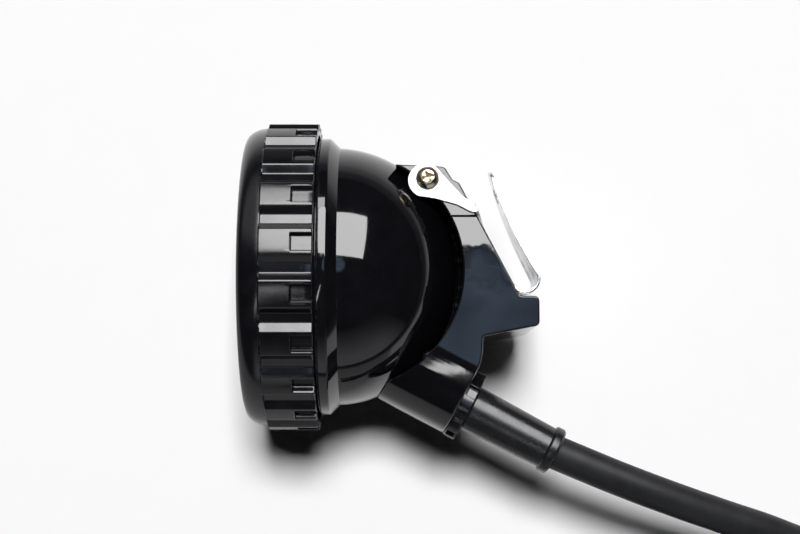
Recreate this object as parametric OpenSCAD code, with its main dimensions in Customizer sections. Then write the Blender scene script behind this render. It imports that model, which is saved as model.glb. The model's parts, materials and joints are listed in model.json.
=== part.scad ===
// Miner's cap lamp, corded headpiece with its lead.
// The lamp lies on its side: it rests on the switch knob and on the bezel ring.
// Lamp frame: X along the optical axis, light leaves towards -X, the origin lies on the axis
// at the plane where the bell starts. place() moves the lamp frame into the part's frame,
// whose origin is the middle of the knob's flat end, with Z up.

/* [Bezel ring] */
// Outer radius of the grip lands
ring_r = 38; // [37.6:0.1:38.4]
// Number of grip lands round the ring
ring_lands = 20; // [18:1:20]
// Depth of the grooves between the lands
groove_depth = 1.5; // [1:0.1:1.5]
// Length of the grip band along the axis
band_len = 12.2; // [11:0.1:12.4]
// Length of the rounded front lip
lip_len = 5.4; // [5:0.1:6]
// Radius of the front lip
lip_r = 36.9; // [36:0.1:37]
// Depth of the spanner pocket in each land
pocket_depth = 1.5; // [1:0.1:2]

/* [Bell] */
// Radius of the bell where it starts
bell_r = 32; // [31.8:0.1:32.4]
// Length of the bell from its start to its pole
bell_len = 30.5; // [30:0.1:31]
// Wall thickness of the bell
bell_wall = 2.4; // [2:0.1:3]

/* [Base casing] */
// Width of the casing between its flat sides
casing_w = 36; // [34:0.5:38]
// Radius of the hollow that clears the bell beside each flat side
saddle_r = 28.1; // [27.5:0.1:28.6]
// Wall round the switch cavity, along the lamp's depth
cavity_wall = 2.5; // [2:0.1:3]

/* [Cap hook] */
// Thickness of the hook's sheet
sheet = 0.8; // [0.6:0.1:0.9]
// Width of the hook at its bend
hook_w = 20; // [16:1:22]
// Radius of the bend's middle line
bend_r = 3.4; // [3.2:0.1:3.6]

/* [Switch] */
// Radius of the switch knob
knob_r = 8; // [7:0.5:9]
// Number of finger flutes on the knob
knob_flutes = 12; // [8:1:14]
// Radius of the switch shaft
shaft_r = 2.5; // [2:0.1:2.7]
// Running clearance round the shaft
shaft_fit = 0.06; // [0.03:0.01:0.1]

/* [Cable] */
// Diameter of the cable
cord_d = 8.5; // [8:0.1:8.6]
// Angle of the cable's exit below the optical axis
cable_drop = 27.7; // [26:0.1:29]
// Length of the sleeve with its end ring, from the boss face
sleeve_len = 26.9; // [26:0.1:28]
// Number of teeth on the gland nut
gland_teeth = 8; // [6:1:10]

/* [Hidden] */
$fn = 72;

// Bezel ring, along the axis
band_x0 = -16.1;
band_x1 = band_x0 + band_len;
lip_x0 = band_x0 - lip_len;
lip_round = 3.3;
lip_back = -17.6;
lip_bore = 29.8;
ring_bore = 35.25;
land_step = 360 / ring_lands;
land_phase = 11.4;
land_foot = land_step * 0.88;
land_top = land_step * 0.5;
land_root = 0.4;
land_lap = 0.1;
pocket_w = 4.2;
pocket_floor_w = 1.2;
pocket_x0 = -8.9;

// Bayonet: lugs inside the ring pass behind lugs on the skirt
lug_count = 4;
lug_arc = 28;
ring_lug_r = 34.25;
ring_lug_x0 = -6.9;
ring_lug_len = 2.5;
skirt_lug_r = 34.9;
skirt_lug_x0 = -9.7;
skirt_lug_len = 2.6;
stop_arc = 3;
stop_gap = 0.6;

// Skirt and collar of the bell
skirt_r = 33.9;
skirt_x0 = -13.4;
seat_r = 31.4;
seat_x = -11.9;
collar_x0 = -3.2;
collar_x1 = -0.2;
collar_r = 34.3;
inner_r = bell_r - bell_wall;
inner_len = bell_len - bell_wall;
bell_steps = 20;

// Lens stack and light engine
gasket_x1 = -14.9;
lens_x0 = -17.4;
lens_r = 34.6;
dish_rim = 28.6;
dish_neck = 6.5;
dish_x0 = -13.1;
dish_vertex = 9;
dish_wall = 1.2;
dish_steps = 12;
dish_f = dish_rim * dish_rim / (4 * (dish_vertex - dish_x0));
board_x0 = 9.4;
board_t = 1.6;
board_r = 20;
sink_t = 2.5;
fin_len = 5;
side_led_at = 17;
side_led_r = 2.5;
post_at = 14;
sink_x0 = board_x0 + board_t;
fin_x1 = sink_x0 + sink_t + fin_len;
driver_x1 = fin_x1 + board_t;

// Side outline of the casing, walked clockwise from its top edge
slant_top = [30.2, 21];
slant_foot = [44.5, -6];
slant_angle = atan2(slant_top.y - slant_foot.y, slant_foot.x - slant_top.x);
shelf_y = -6.2;
heel = [49.2, -12.3];
notch = [35.8, -15.9];
half_w = casing_w / 2;
step_y = 12.9;
step_depth = 0.4;
saddle_x = 2.9;
saddle_z = 9;

// Cap hook: ears in the lamp frame, the rest down the slanted back
ear_at = [22, 21.4];
ear_r = 4.1;
ear_z = half_w - step_depth;
fold_from = 5.9;
fold_to = 8.6;
back_w = 22;
back_shoulder = 11.5;
back_taper = 1;
bend_at = [27.3, 3.88];
tongue_path = [[27.3, 7.28], [21.5, 7.3], [15.7, 7.55], [10, 8.1], [4.5, 8.85], [-0.8, 9.8]];
tongue_tip = 2.4;
tongue_tip_r = 3.2;
tongue_hole = [5.5, 2];

// Cable boss and gland, along the cable's axis from the boss face
cord_r = cord_d / 2;
boss_at = [30.6, -31];
cable_dir = [cos(cable_drop), -sin(cable_drop)];
cable_up = [sin(cable_drop), cos(cable_drop)];
boss_drop = 8.7;
boss_axis = boss_at + (half_w - boss_drop) * cable_up;
boss_len = 26;
gland_bore = 7;
gland_depth = 8.5;
cable_bore = 4.6;
nut_r = 8.9;
nut_t = 3.1;
stem_len = 4.2;
seal_x1 = -5;
collar_bore = 6;
tail_back = 16;
ring_back = 2.5;

// Switch, along Z
knob_at = [36.5, -6];
knob_end = -ring_r;
knob_base = -21;
cover_t = 2.5;
collar_z = -20.6;
seal_z = -18.4;
cavity_top = 15.5;
plate_z = -9.2;
plate_t = 1.6;
rotor_r = 3.7;
cover_screw_at = [[45.3, -9.6], [31.3, -17.6], [33.9, 7]];
hook_screw_at = [22.6, 22];
hook_screw_r = 1.5;
screw_boss_r = 3.5;
insert_r = 2.3;
insert_len = 5;

// Cord route: heights count from the table. The loose stretches follow points set by hand.
table_z = -ring_r;
lead_points = [[62.3, -46.8, 38], [70.7, -50.2, 37.6], [82.2, -54.5, 36.2], [95.5, -59.1, 33.5],
    [109.9, -63.9, 29.8], [122.8, -69.4, 25], [134.4, -77.2, 19.1], [143.6, -87.6, 13],
    [150.4, -100.3, 7.8]];
tail_points = [[85, -181.6, 12.5], [73, -180.4, 10.6], [62, -178.4, 8.8]];
tail_end = [53, -176.2, 7.5];
coil_at = [101, -128.5];
coil_r = 52;
coil_pitch = 9.4;
coil_lift = 9.1;
coil_turns = 5.25;
coil_phase = 5;
coil_rings = 24;
coil_sides = 6;
tube_sides = 10;
plug_r = 7.5;
boot_len = 20;
plug_len = 24;
pin_len = 8;

// ---------------------------------------------------------------- frames and helpers

module place() translate([-knob_at.x, -knob_at.y, ring_r]) children();

// Stands a shape that was drawn along Z onto the optical axis
module about_x() rotate([0, 90, 0]) children();

// Stands a shape that was drawn along Z onto the cable's axis, at a distance from the boss face
module on_cable(s) {
    translate([boss_at.x + s * cable_dir.x, boss_at.y + s * cable_dir.y, 0])
        rotate([0, 90, -cable_drop])
            children();
}

// Local X runs down the slanted back, local Z away from it
module on_slant() {
    translate([slant_top.x, slant_top.y, 0])
        rotate([-90, 0, -slant_angle])
            children();
}

module tube(r_out, r_in, h) {
    difference() {
        cylinder(r = r_out, h = h);
        translate([0, 0, -1]) cylinder(r = r_in, h = h + 2);
    }
}

// Sector of a ring, for lugs and stops
module arc_block(r_in, r_out, from, to, h, n = 6) {
    step = (to - from) / n;
    linear_extrude(h)
        polygon(concat([for (i = [0:n]) r_out * [cos(from + i * step), sin(from + i * step)]],
            [for (i = [n:-1:0]) r_in * [cos(from + i * step), sin(from + i * step)]]));
}

function unit(v) = v / norm(v);

// Directions along a path: the given ones at its ends, the mean of both neighbours between
function tangents(p, first, last) = [for (i = [0:len(p) - 1])
    i == 0 ? first : i == len(p) - 1 ? last : unit(unit(p[i + 1] - p[i]) + unit(p[i] - p[i - 1]))];

// One closed tube of triangles along a path, its rings square to the directions
module sweep(path, dirs, r, sides) {
    n = len(path);
    pts = [for (i = [0:n - 1]) let (side = unit(cross(dirs[i], [0, 0, 1])), up = cross(side, dirs[i]))
        for (k = [0:sides - 1]) let (a = 270 + 360 * k / sides)
            path[i] + r * (cos(a) * side + sin(a) * up)];
    walls = [for (i = [0:n - 2]) for (k = [0:sides - 1])
        let (a = i * sides + k, b = i * sides + (k + 1) % sides)
            each [[a, a + sides, b], [b, a + sides, b + sides]]];
    caps = [for (k = [1:sides - 2]) each [[0, k, k + 1],
        [(n - 1) * sides, (n - 1) * sides + k + 1, (n - 1) * sides + k]]];
    polyhedron(points = pts, faces = concat(walls, caps));
}

// Pan head screw, head upwards at z = 0, with a cross recess
module pan_screw(head_r, head_h, shank_r, shank_len) {
    slot = head_r * 0.22;
    difference() {
        union() {
            rotate_extrude()
                polygon([[0, 0], [head_r, 0], [head_r, head_h * 0.45], [head_r * 0.85, head_h * 0.8],
                    [head_r * 0.5, head_h], [0, head_h]]);
            translate([0, 0, -shank_len]) cylinder(r = shank_r, h = shank_len + 0.1, $fn = 24);
        }
        for (a = [45, 135]) rotate(a)
            translate([-head_r * 0.6, -slot / 2, head_h * 0.4]) cube([head_r * 1.2, slot, head_h]);
    }
}

// ---------------------------------------------------------------- bezel ring

module ring_body() {
    rotate_extrude()
        polygon(concat([[lip_bore, lip_back], [lip_bore, lip_back - 0.8], [31, lip_x0]],
            [for (a = [0:15:90]) [lip_r - lip_round + lip_round * sin(a),
                lip_x0 + lip_round - lip_round * cos(a)]],
            [[lip_r, band_x0], [ring_r - groove_depth, band_x0], [ring_r - groove_depth, band_x1],
            [ring_bore, band_x1], [ring_bore, lip_back]]));
}

// One grip land: sloping flanks and an arched top
module land() {
    r0 = ring_r - groove_depth - land_root;
    linear_extrude(band_len)
        polygon(concat([r0 * [cos(land_foot / 2), sin(land_foot / 2)],
            r0 * [cos(land_foot / 2), -sin(land_foot / 2)]],
            [for (a = [-land_top / 2:land_top / 6:land_top / 2 + 0.01]) ring_r * [cos(a), sin(a)]]));
}

// Spanner pocket with sloping sides, open at the back of the band
module pocket() {
    reach = 1;
    slope = (pocket_w - pocket_floor_w) / 2 / pocket_depth;
    top = pocket_w / 2 + slope * reach;
    translate([0, 0, pocket_x0]) linear_extrude(band_x1 - pocket_x0 + 1)
        polygon([[ring_r + reach, top], [ring_r - pocket_depth, pocket_floor_w / 2],
            [ring_r - pocket_depth, -pocket_floor_w / 2], [ring_r + reach, -top]]);
}

module bezel_ring() {
    color([0.03, 0.03, 0.035]) about_x() {
        difference() {
            union() {
                ring_body();
                for (i = [0:ring_lands - 1])
                    rotate(land_phase + i * land_step) translate([0, 0, band_x0 - land_lap]) land();
            }
            for (i = [0:ring_lands - 1]) rotate(land_phase + i * land_step) pocket();
        }
        for (i = [0:lug_count - 1]) rotate(45 + i * 360 / lug_count)
            translate([0, 0, ring_lug_x0])
                arc_block(ring_lug_r, ring_bore + 0.4, -lug_arc / 2, lug_arc / 2, ring_lug_len);
    }
}

// ---------------------------------------------------------------- lens and light engine

module lens() {
    crown = 1.2;
    steps = 8;
    color([0.85, 0.9, 0.95, 0.4]) about_x()
        rotate_extrude()
            polygon(concat([[0, gasket_x1], [lens_r, gasket_x1], [lens_r, lens_x0]],
                [for (i = [0:steps]) let (r = 29.5 * (1 - i / steps))
                    [r, lens_x0 - crown * (1 - pow(r / 29.5, 2))]]));
}

module lens_gasket() {
    color([0.1, 0.1, 0.1]) about_x()
        translate([0, 0, gasket_x1]) tube(lens_r, 31.6, skirt_x0 - gasket_x1);
}

function dish_x(r) = dish_vertex - r * r / (4 * dish_f);

module reflector() {
    step = (dish_rim - dish_neck) / dish_steps;
    color([0.85, 0.86, 0.88]) about_x() {
        difference() {
            union() {
                rotate_extrude()
                    polygon(concat([for (i = [0:dish_steps])
                            let (r = dish_neck + i * step) [r, dish_x(r)]],
                        [[seat_r - 0.2, dish_x0], [seat_r - 0.2, seat_x]],
                        [for (i = [dish_steps:-1:0]) let (r = dish_neck + i * step)
                            [min(r + dish_wall, 29.4), dish_x(r) + 0.6]]));
                for (a = [0, 180]) rotate(a) translate([post_at, 0, 4])
                    cylinder(r = 2.4, h = board_x0 - 4, $fn = 32);
            }
            for (a = [90, 270]) rotate(a) translate([side_led_at, 0, -10])
                cylinder(r = side_led_r + 0.25, h = 20, $fn = 32);
            for (a = [0, 180]) rotate(a) translate([post_at, 0, 5])
                cylinder(r = 1, h = 10, $fn = 24);
            rotate_extrude()
                polygon(concat([for (i = [0:dish_steps])
                        let (r = dish_neck + i * step) [r, dish_x(r)]], [[0, dish_x0], [0, 8]]));
        }
    }
}

module led_board() {
    color([0.9, 0.9, 0.88]) about_x() translate([0, 0, board_x0])
        difference() {
            cylinder(r = board_r, h = board_t);
            for (a = [0, 180]) rotate(a) translate([post_at, 0, -1]) cylinder(r = 1, h = 4, $fn = 24);
        }
}

module main_led() {
    color([0.95, 0.9, 0.6]) about_x() {
        translate([-2.5, -2.5, board_x0 - 1.2]) cube([5, 5, 1.2]);
        difference() {
            translate([0, 0, board_x0 - 1.2]) sphere(r = 2.3, $fn = 32);
            translate([-4, -4, board_x0 - 1.2]) cube(8);
        }
    }
}

module side_leds() {
    rim_x = 5.6;
    tip_x = -0.7;
    color([0.9, 0.92, 0.95]) about_x()
        for (a = [90, 270]) rotate(a) translate([side_led_at, 0, 0]) {
            translate([0, 0, tip_x]) cylinder(r = side_led_r, h = rim_x - tip_x, $fn = 32);
            difference() {
                translate([0, 0, tip_x]) sphere(r = side_led_r, $fn = 32);
                translate([-4, -4, tip_x]) cube(8);
            }
            translate([0, 0, rim_x]) cylinder(r = 2.9, h = 1, $fn = 32);
            for (y = [-1.27, 1.27])
                translate([0, y, rim_x + 1]) cylinder(r = 0.3, h = board_x0 - rim_x - 1, $fn = 16);
        }
}

module heat_sink() {
    fin_t = 1.4;
    color([0.7, 0.71, 0.73]) about_x() difference() {
        union() {
            translate([0, 0, sink_x0]) cylinder(r = board_r, h = sink_t);
            for (i = [-3:3]) translate([-11, i * 3.6 - fin_t / 2, sink_x0 + sink_t - 0.1])
                cube([22, fin_t, fin_len + 0.1]);
        }
        for (a = [0, 180]) rotate(a) translate([post_at, 0, sink_x0 - 1])
            cylinder(r = 1.1, h = 10, $fn = 24);
    }
}

module driver_board() {
    color([0.1, 0.35, 0.2]) {
        translate([fin_x1, -12, -9]) cube([board_t, 24, 18]);
        translate([driver_x1, 2, -3]) cube([1.6, 6, 6]);
        translate([driver_x1, -5, 3]) cube([2.4, 5, 4]);
    }
}

module engine_screws() {
    color([0.75, 0.75, 0.7]) about_x()
        for (a = [0, 180]) rotate(a) translate([post_at, 0, sink_x0 + sink_t])
            pan_screw(2, 1.4, 0.95, 8);
}

// ---------------------------------------------------------------- bell

module bell_solid() {
    rotate_extrude()
        polygon(concat([[0, 0]], [for (i = [0:bell_steps]) let (a = 90 * i / bell_steps)
            [bell_r * cos(a), bell_len * sin(a)]]));
}

module bell_hollow() {
    rotate_extrude()
        polygon(concat([[0, skirt_x0 - 1], [seat_r, skirt_x0 - 1], [seat_r, seat_x], [inner_r, seat_x]],
            [for (i = [0:bell_steps]) let (a = 90 * i / bell_steps)
                [inner_r * cos(a), inner_len * sin(a)]]));
}

module bell_shell() {
    color([0.03, 0.03, 0.035]) difference() {
        about_x() difference() {
            union() {
                bell_solid();
                translate([0, 0, skirt_x0]) cylinder(r = skirt_r, h = collar_x0 - skirt_x0 + 0.1);
                translate([0, 0, collar_x0]) cylinder(r = collar_r, h = collar_x1 - collar_x0);
                translate([0, 0, collar_x1 - 0.1]) cylinder(r = bell_r, h = 0.1 - collar_x1);
                for (i = [0:lug_count - 1]) rotate(45 + i * 360 / lug_count) {
                    translate([0, 0, skirt_lug_x0])
                        arc_block(skirt_r - 0.4, skirt_lug_r, -lug_arc / 2 - stop_gap, lug_arc / 2,
                            skirt_lug_len);
                    translate([0, 0, skirt_lug_x0])
                        arc_block(skirt_r - 0.4, skirt_lug_r, -lug_arc / 2 - stop_gap - stop_arc,
                            -lug_arc / 2 - stop_gap, 5.2, 2);
                }
            }
            bell_hollow();
        }
        on_cable(-30) cylinder(r = cable_bore, h = 30, $fn = 48);
        translate([20, knob_at.y, 0]) about_x() cylinder(r = 3, h = 20, $fn = 32);
    }
}

// ---------------------------------------------------------------- base casing

function corner(p, r, from, to, n = 3) =
    [for (i = [0:n]) let (a = from + (to - from) * i / n) p + r * [cos(a), sin(a)]];

module casing_outline() {
    polygon(concat([[13, 25.6], [25.6, 25]], corner([26, 23.6], 1.3, 70, 20),
        [[28.6, 21.8], slant_top, slant_foot, [slant_foot.x + 0.3, shelf_y]],
        corner([heel.x - 1.2, shelf_y - 1.2], 1.2, 90, 0), corner([heel.x - 1.2, heel.y], 1.2, 0, -75),
        [notch, [35.6, -19.9], boss_axis, boss_axis - 32 * cable_dir]));
}

module cavity_outline() {
    inset = cavity_wall / sin(slant_angle);
    high = 3.2;
    low = -13.6;
    lean = (high - slant_foot.y) / tan(slant_angle);
    difference() {
        polygon([[28, high], [slant_foot.x - inset - lean, high], [slant_foot.x - inset, -6.8],
            [slant_foot.x - inset, -11.7], [34, low], [28, low]]);
        translate([saddle_x, 0]) circle(r = saddle_r + 2);
    }
}

module cover_outline() {
    difference() {
        polygon([[29, 9.8], [34.9, 9.8], [43.3, -7.3], [48.1, -7.4], [48.1, -11.8], [34.9, -14.8],
            [34.5, -19.8], [32, -20.7], [27.2, -18.2]]);
        translate([saddle_x, 0]) circle(r = saddle_r + 1.1);
    }
}

module base_casing() {
    color([0.03, 0.03, 0.035]) difference() {
        union() {
            translate([0, 0, -half_w]) linear_extrude(casing_w) casing_outline();
            translate([hook_screw_at.x, hook_screw_at.y, -half_w])
                cylinder(r = screw_boss_r, h = casing_w, $fn = 48);
            translate([boss_axis.x, boss_axis.y, 0]) rotate([0, -90, -cable_drop])
                cylinder(r = half_w, h = boss_len);
        }
        about_x() bell_solid();
        for (s = [-1, 1]) {
            difference() {
                translate([saddle_x, 0, s * (saddle_z + 15) - 15]) cylinder(r = saddle_r, h = 30);
                translate([hook_screw_at.x, hook_screw_at.y, -half_w])
                    cylinder(r = screw_boss_r, h = casing_w, $fn = 48);
            }
            translate([5, step_y, s * (half_w - step_depth + 5) - 5]) cube([40, 30, 10]);
            translate([hook_screw_at.x, hook_screw_at.y, s * (half_w - insert_len / 2) - insert_len / 2])
                cylinder(r = insert_r, h = insert_len, $fn = 32);
        }
        translate([0, 0, -half_w - 1]) linear_extrude(half_w + cavity_top + 1) cavity_outline();
        translate([0, 0, -half_w - 1]) linear_extrude(cover_t + 1) cover_outline();
        for (p = cover_screw_at) translate([p.x, p.y, -half_w]) cylinder(r = 0.9, h = 9, $fn = 24);
        on_cable(-gland_depth) cylinder(r = gland_bore, h = 20);
        on_cable(-30) cylinder(r = cable_bore, h = 30, $fn = 48);
        translate([20, knob_at.y, 0]) about_x() cylinder(r = 3, h = 16, $fn = 32);
    }
}

module switch_cover() {
    color([0.04, 0.04, 0.045]) difference() {
        union() {
            translate([0, 0, -half_w]) linear_extrude(cover_t) cover_outline();
            translate([knob_at.x, knob_at.y, collar_z]) cylinder(r = 6, h = -collar_z - half_w + 0.1);
        }
        translate([knob_at.x, knob_at.y, collar_z - 1]) cylinder(r = shaft_r + shaft_fit, h = 10);
        translate([knob_at.x, knob_at.y, seal_z - 0.8]) cylinder(r = shaft_r + 1.7, h = 1.6);
        for (p = cover_screw_at) translate([p.x, p.y, -half_w - 1]) {
            cylinder(r = 1.2, h = 10, $fn = 24);
            cylinder(r = 2.1, h = 2, $fn = 32);
        }
    }
}

module cover_screws() {
    color([0.75, 0.75, 0.72]) for (p = cover_screw_at)
        translate([p.x, p.y, -half_w + 1]) mirror([0, 0, 1]) pan_screw(2, 0.9, 0.85, 8);
}

// ---------------------------------------------------------------- cap hook

module strip(points, t, w) {
    n = len(points);
    rotate([90, 0, 0]) translate([0, 0, -w / 2]) linear_extrude(w)
        polygon(concat([for (p = points) p + [0, t / 2]],
            [for (i = [n - 1:-1:0]) points[i] - [0, t / 2]]));
}

module ear_outline() {
    difference() {
        union() {
            translate(ear_at) circle(r = ear_r, $fn = 48);
            polygon([[20.3, 17.7], [24.6, 17], [29.6, 15.6], [33.3, 13.7], [34.79, 13.92],
                [33.71, 15.95], [31.2, 17.3], [28.5, 20.2], [25.2, 24]]);
        }
        translate(hook_screw_at) circle(r = hook_screw_r + 0.1, $fn = 32);
    }
}

module cap_hook() {
    wide = ear_z + sheet;
    narrow = back_w / 2;
    color([0.8, 0.8, 0.8]) {
        for (z = [ear_z, -ear_z - sheet]) translate([0, 0, z]) linear_extrude(sheet) ear_outline();
        on_slant() {
            linear_extrude(sheet)
                polygon([[fold_from, -wide], [fold_to, -wide], [back_shoulder, -narrow],
                    [bend_at.x, back_taper - narrow], [bend_at.x, narrow - back_taper],
                    [back_shoulder, narrow], [fold_to, wide], [fold_from, wide]]);
            translate([bend_at.x, hook_w / 2, bend_at.y]) rotate([90, 0, 0]) linear_extrude(hook_w)
                polygon(concat(corner([0, 0], bend_r + sheet / 2, -92, 92, 12),
                    corner([0, 0], bend_r - sheet / 2, 92, -92, 12)));
            intersection() {
                strip(tongue_path, sheet, hook_w);
                translate([0, 0, 5]) linear_extrude(8) difference() {
                    union() {
                        polygon([[bend_at.x + 1, -hook_w / 2], [2.8, -tongue_tip_r - 0.15],
                            [2.8, tongue_tip_r + 0.15], [bend_at.x + 1, hook_w / 2]]);
                        translate([tongue_tip, 0]) circle(r = tongue_tip_r, $fn = 48);
                    }
                    translate([tongue_hole.x, 0]) circle(r = tongue_hole.y, $fn = 32);
                }
            }
        }
    }
}

module hook_screws() {
    color([0.85, 0.78, 0.55]) for (s = [0, 1]) mirror([0, 0, s])
        translate([hook_screw_at.x, hook_screw_at.y, half_w - step_depth + sheet])
            pan_screw(2.75, 1.7, hook_screw_r, 5.2);
}

module hook_inserts() {
    color([0.8, 0.65, 0.3]) for (s = [0, 1]) mirror([0, 0, s])
        translate([hook_screw_at.x, hook_screw_at.y, half_w - insert_len])
            tube(insert_r, hook_screw_r, insert_len - step_depth);
}

// ---------------------------------------------------------------- cable gland

module gland_nut() {
    gap_r = 7.5;
    gap_w = 2.9;
    color([0.03, 0.03, 0.035]) on_cable(0) difference() {
        union() {
            cylinder(r = nut_r, h = nut_t);
            translate([0, 0, -stem_len]) cylinder(r = gland_bore - 0.05, h = stem_len + 0.1);
        }
        for (i = [0:gland_teeth - 1]) rotate(22.5 + i * 360 / gland_teeth)
            translate([gap_r, -gap_w / 2, 0.5]) cube([5, gap_w, nut_t]);
        translate([0, 0, -stem_len - 1]) cylinder(r = 5, h = 20);
        translate([0, 0, -stem_len - 1]) cylinder(r = collar_bore, h = stem_len - 0.5);
    }
}

module gland_washer() {
    color([0.8, 0.65, 0.3]) on_cable(seal_x1)
        tube(gland_bore - 0.05, cord_r + 0.15, -seal_x1 - stem_len);
}

module gland_seal() {
    color([0.12, 0.12, 0.12]) on_cable(-gland_depth)
        tube(gland_bore - 0.05, cord_r, gland_depth + seal_x1);
}

module strain_relief() {
    color([0.05, 0.05, 0.05]) on_cable(0) difference() {
        rotate_extrude()
            polygon([[0, -4.1], [5.9, -4.1], [5.9, -1.6], [4.95, -1.6], [4.95, nut_t + 0.1],
                [5.75, nut_t + 0.1], [5.25, sleeve_len - ring_back], [5.7, sleeve_len - ring_back],
                [5.95, sleeve_len - ring_back + 0.4], [5.95, sleeve_len - 0.5], [5.5, sleeve_len],
                [0, sleeve_len]]);
        translate([0, 0, -5]) cylinder(r = cord_r, h = 50);
    }
}

module cable_tail() {
    color([0.1, 0.1, 0.11]) on_cable(-tail_back) cylinder(r = cord_r, h = tail_back + sleeve_len);
}

module lead_wires() {
    start = boss_at - tail_back * cable_dir;
    color([0.6, 0.1, 0.1]) for (z = [-2, 2]) {
        path = [[start.x, start.y, z], [15.2, -22.9, z], [16.6, -19, z], [20.2, -16, z],
            [22.4, -12.6, z], [21.6, -9.8, z], [driver_x1, -9.5, z]];
        sweep(path, tangents(path, [-cable_dir.x, -cable_dir.y, 0], [-1, 0, 0]), 0.9, 6);
    }
}

// ---------------------------------------------------------------- switch

// Each wire ends on a post that stands on the contact plate
module switch_wires() {
    post_x = 34.3;
    color([0.1, 0.1, 0.5]) for (y = [knob_at.y - 1.5, knob_at.y + 1.5]) {
        translate([driver_x1, y, 0]) about_x() cylinder(r = 0.7, h = post_x - driver_x1, $fn = 24);
        translate([post_x, y, plate_z + plate_t]) cylinder(r = 0.95, h = 9, $fn = 24);
    }
}

module contact_plate() {
    color([0.55, 0.4, 0.2]) translate([0, 0, plate_z]) linear_extrude(plate_t) cavity_outline();
}

module fixed_contacts() {
    color([0.85, 0.7, 0.35]) for (a = [30, 150, 270])
        translate([knob_at.x + 2.7 * cos(a), knob_at.y + 2.7 * sin(a), plate_z - 0.25])
            cylinder(r = 0.8, h = 0.25, $fn = 24);
}

module shaft_seal() {
    color([0.1, 0.1, 0.1]) translate([knob_at.x, knob_at.y, seal_z])
        rotate_extrude() translate([shaft_r + shaft_fit + 0.8, 0]) circle(r = 0.79, $fn = 24);
}

module switch_knob() {
    color([0.04, 0.04, 0.045]) translate([knob_at.x, knob_at.y, 0]) difference() {
        translate([0, 0, knob_end]) cylinder(r = knob_r, h = knob_base - knob_end);
        for (i = [0:knob_flutes - 1]) rotate(i * 360 / knob_flutes)
            translate([knob_r + 0.7, 0, knob_end - 1])
                cylinder(r = 1.5, h = knob_base - knob_end - 1.5, $fn = 24);
        translate([0, 0, knob_end + 3]) cylinder(r = shaft_r, h = 30);
        translate([0, 0, knob_base - 5]) rotate([0, 90, 0]) cylinder(r = 1.2, h = 12, $fn = 24);
    }
}

module switch_shaft() {
    color([0.75, 0.75, 0.75]) translate([knob_at.x, knob_at.y, 0])
        translate([0, 0, knob_end + 3]) cylinder(r = shaft_r, h = plate_z - 0.6 - knob_end - 3);
}

module grub_screw() {
    color([0.5, 0.5, 0.5]) translate([knob_at.x + shaft_r, knob_at.y, knob_base - 5])
        rotate([0, 90, 0]) cylinder(r = 1.2, h = 3, $fn = 24);
}

module shaft_clip() {
    color([0.6, 0.6, 0.6]) translate([knob_at.x, knob_at.y, -15])
        difference() {
            cylinder(r = rotor_r - 0.1, h = 0.7);
            translate([0, 0, -1]) cylinder(r = shaft_r, h = 3);
            translate([0, -1.2, -1]) cube([10, 2.4, 3]);
        }
}

module switch_rotor() {
    color([0.85, 0.85, 0.8]) translate([knob_at.x, knob_at.y, -14.3]) tube(rotor_r, shaft_r, 3.8);
}

module wiper_contact() {
    color([0.85, 0.7, 0.35]) translate([knob_at.x, knob_at.y, -10.5]) difference() {
        cylinder(r = rotor_r, h = 0.6);
        translate([0, 0, -1]) cylinder(r = shaft_r, h = 3);
        translate([-10, 1.6, -1]) cube([20, 10, 3]);
    }
}

// ---------------------------------------------------------------- cord

function on_table(p) = [p.x, p.y, table_z + p.z];
function all_on_table(path) = [for (p = path) on_table(p)];

function ramp(u) = u <= 0 ? 0 : u >= 1 ? 1 : u * u * (3 - 2 * u);
function coil_radius(t) = coil_r - coil_pitch * (coil_turns / 2 - abs(t - coil_turns / 2));
function coil_height(t) = cord_r + coil_lift * ramp((t - coil_turns / 2) * 2 + 0.5);
function coil_point(t) = let (a = coil_phase - 360 * t)
    [coil_at.x + coil_radius(t) * cos(a), coil_at.y + coil_radius(t) * sin(a), coil_height(t)];

coil_start_dir = unit(coil_point(0.002) - coil_point(0));
coil_end_dir = unit(coil_point(coil_turns) - coil_point(coil_turns - 0.002));
coil_start = coil_point(0) - cord_d * coil_start_dir;
coil_end = coil_point(coil_turns) + cord_d * coil_end_dir;
coil_path = concat([coil_start],
    [for (i = [0:coil_turns * coil_rings]) coil_point(i / coil_rings)], [coil_end]);

exit_at = boss_at + sleeve_len * cable_dir;
lead_path = concat([[exit_at.x, exit_at.y, ring_r]], lead_points, [coil_start]);
tail_path = concat([coil_end], tail_points, [tail_end]);
last_tail = tail_points[len(tail_points) - 1];
plug_dir = unit([tail_end.x - last_tail.x, tail_end.y - last_tail.y, 0]);

// Least distance between windings of the coil that aren't neighbours along the cord
coil_gap = min([for (i = [0:len(coil_path) - 1]) for (j = [i + 8:1:len(coil_path) - 1])
    norm(coil_path[i] - coil_path[j])]) - cord_d;
echo(coil_gap = coil_gap);

module cord_lead() {
    color([0.12, 0.12, 0.13])
        sweep(all_on_table(lead_path), tangents(lead_path, [cable_dir.x, cable_dir.y, 0], coil_start_dir),
            cord_r, tube_sides);
}

module cord_coil() {
    color([0.12, 0.12, 0.13])
        sweep(all_on_table(coil_path), tangents(coil_path, coil_start_dir, coil_end_dir), cord_r, coil_sides);
}

module cord_tail() {
    color([0.12, 0.12, 0.13])
        sweep(all_on_table(tail_path), tangents(tail_path, coil_end_dir, plug_dir), cord_r, tube_sides);
}

// Stands a shape that was drawn along Z onto the plug's axis, from the end of the cord
module on_plug(s) {
    translate(on_table(tail_end + s * plug_dir))
        rotate([0, 90, atan2(plug_dir.y, plug_dir.x)])
            children();
}

module plug_boot() {
    color([0.05, 0.05, 0.05]) on_plug(0) {
        cylinder(r1 = 5.3, r2 = 6, h = boot_len);
        cylinder(r = 5.9, h = 2.5);
    }
}

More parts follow.
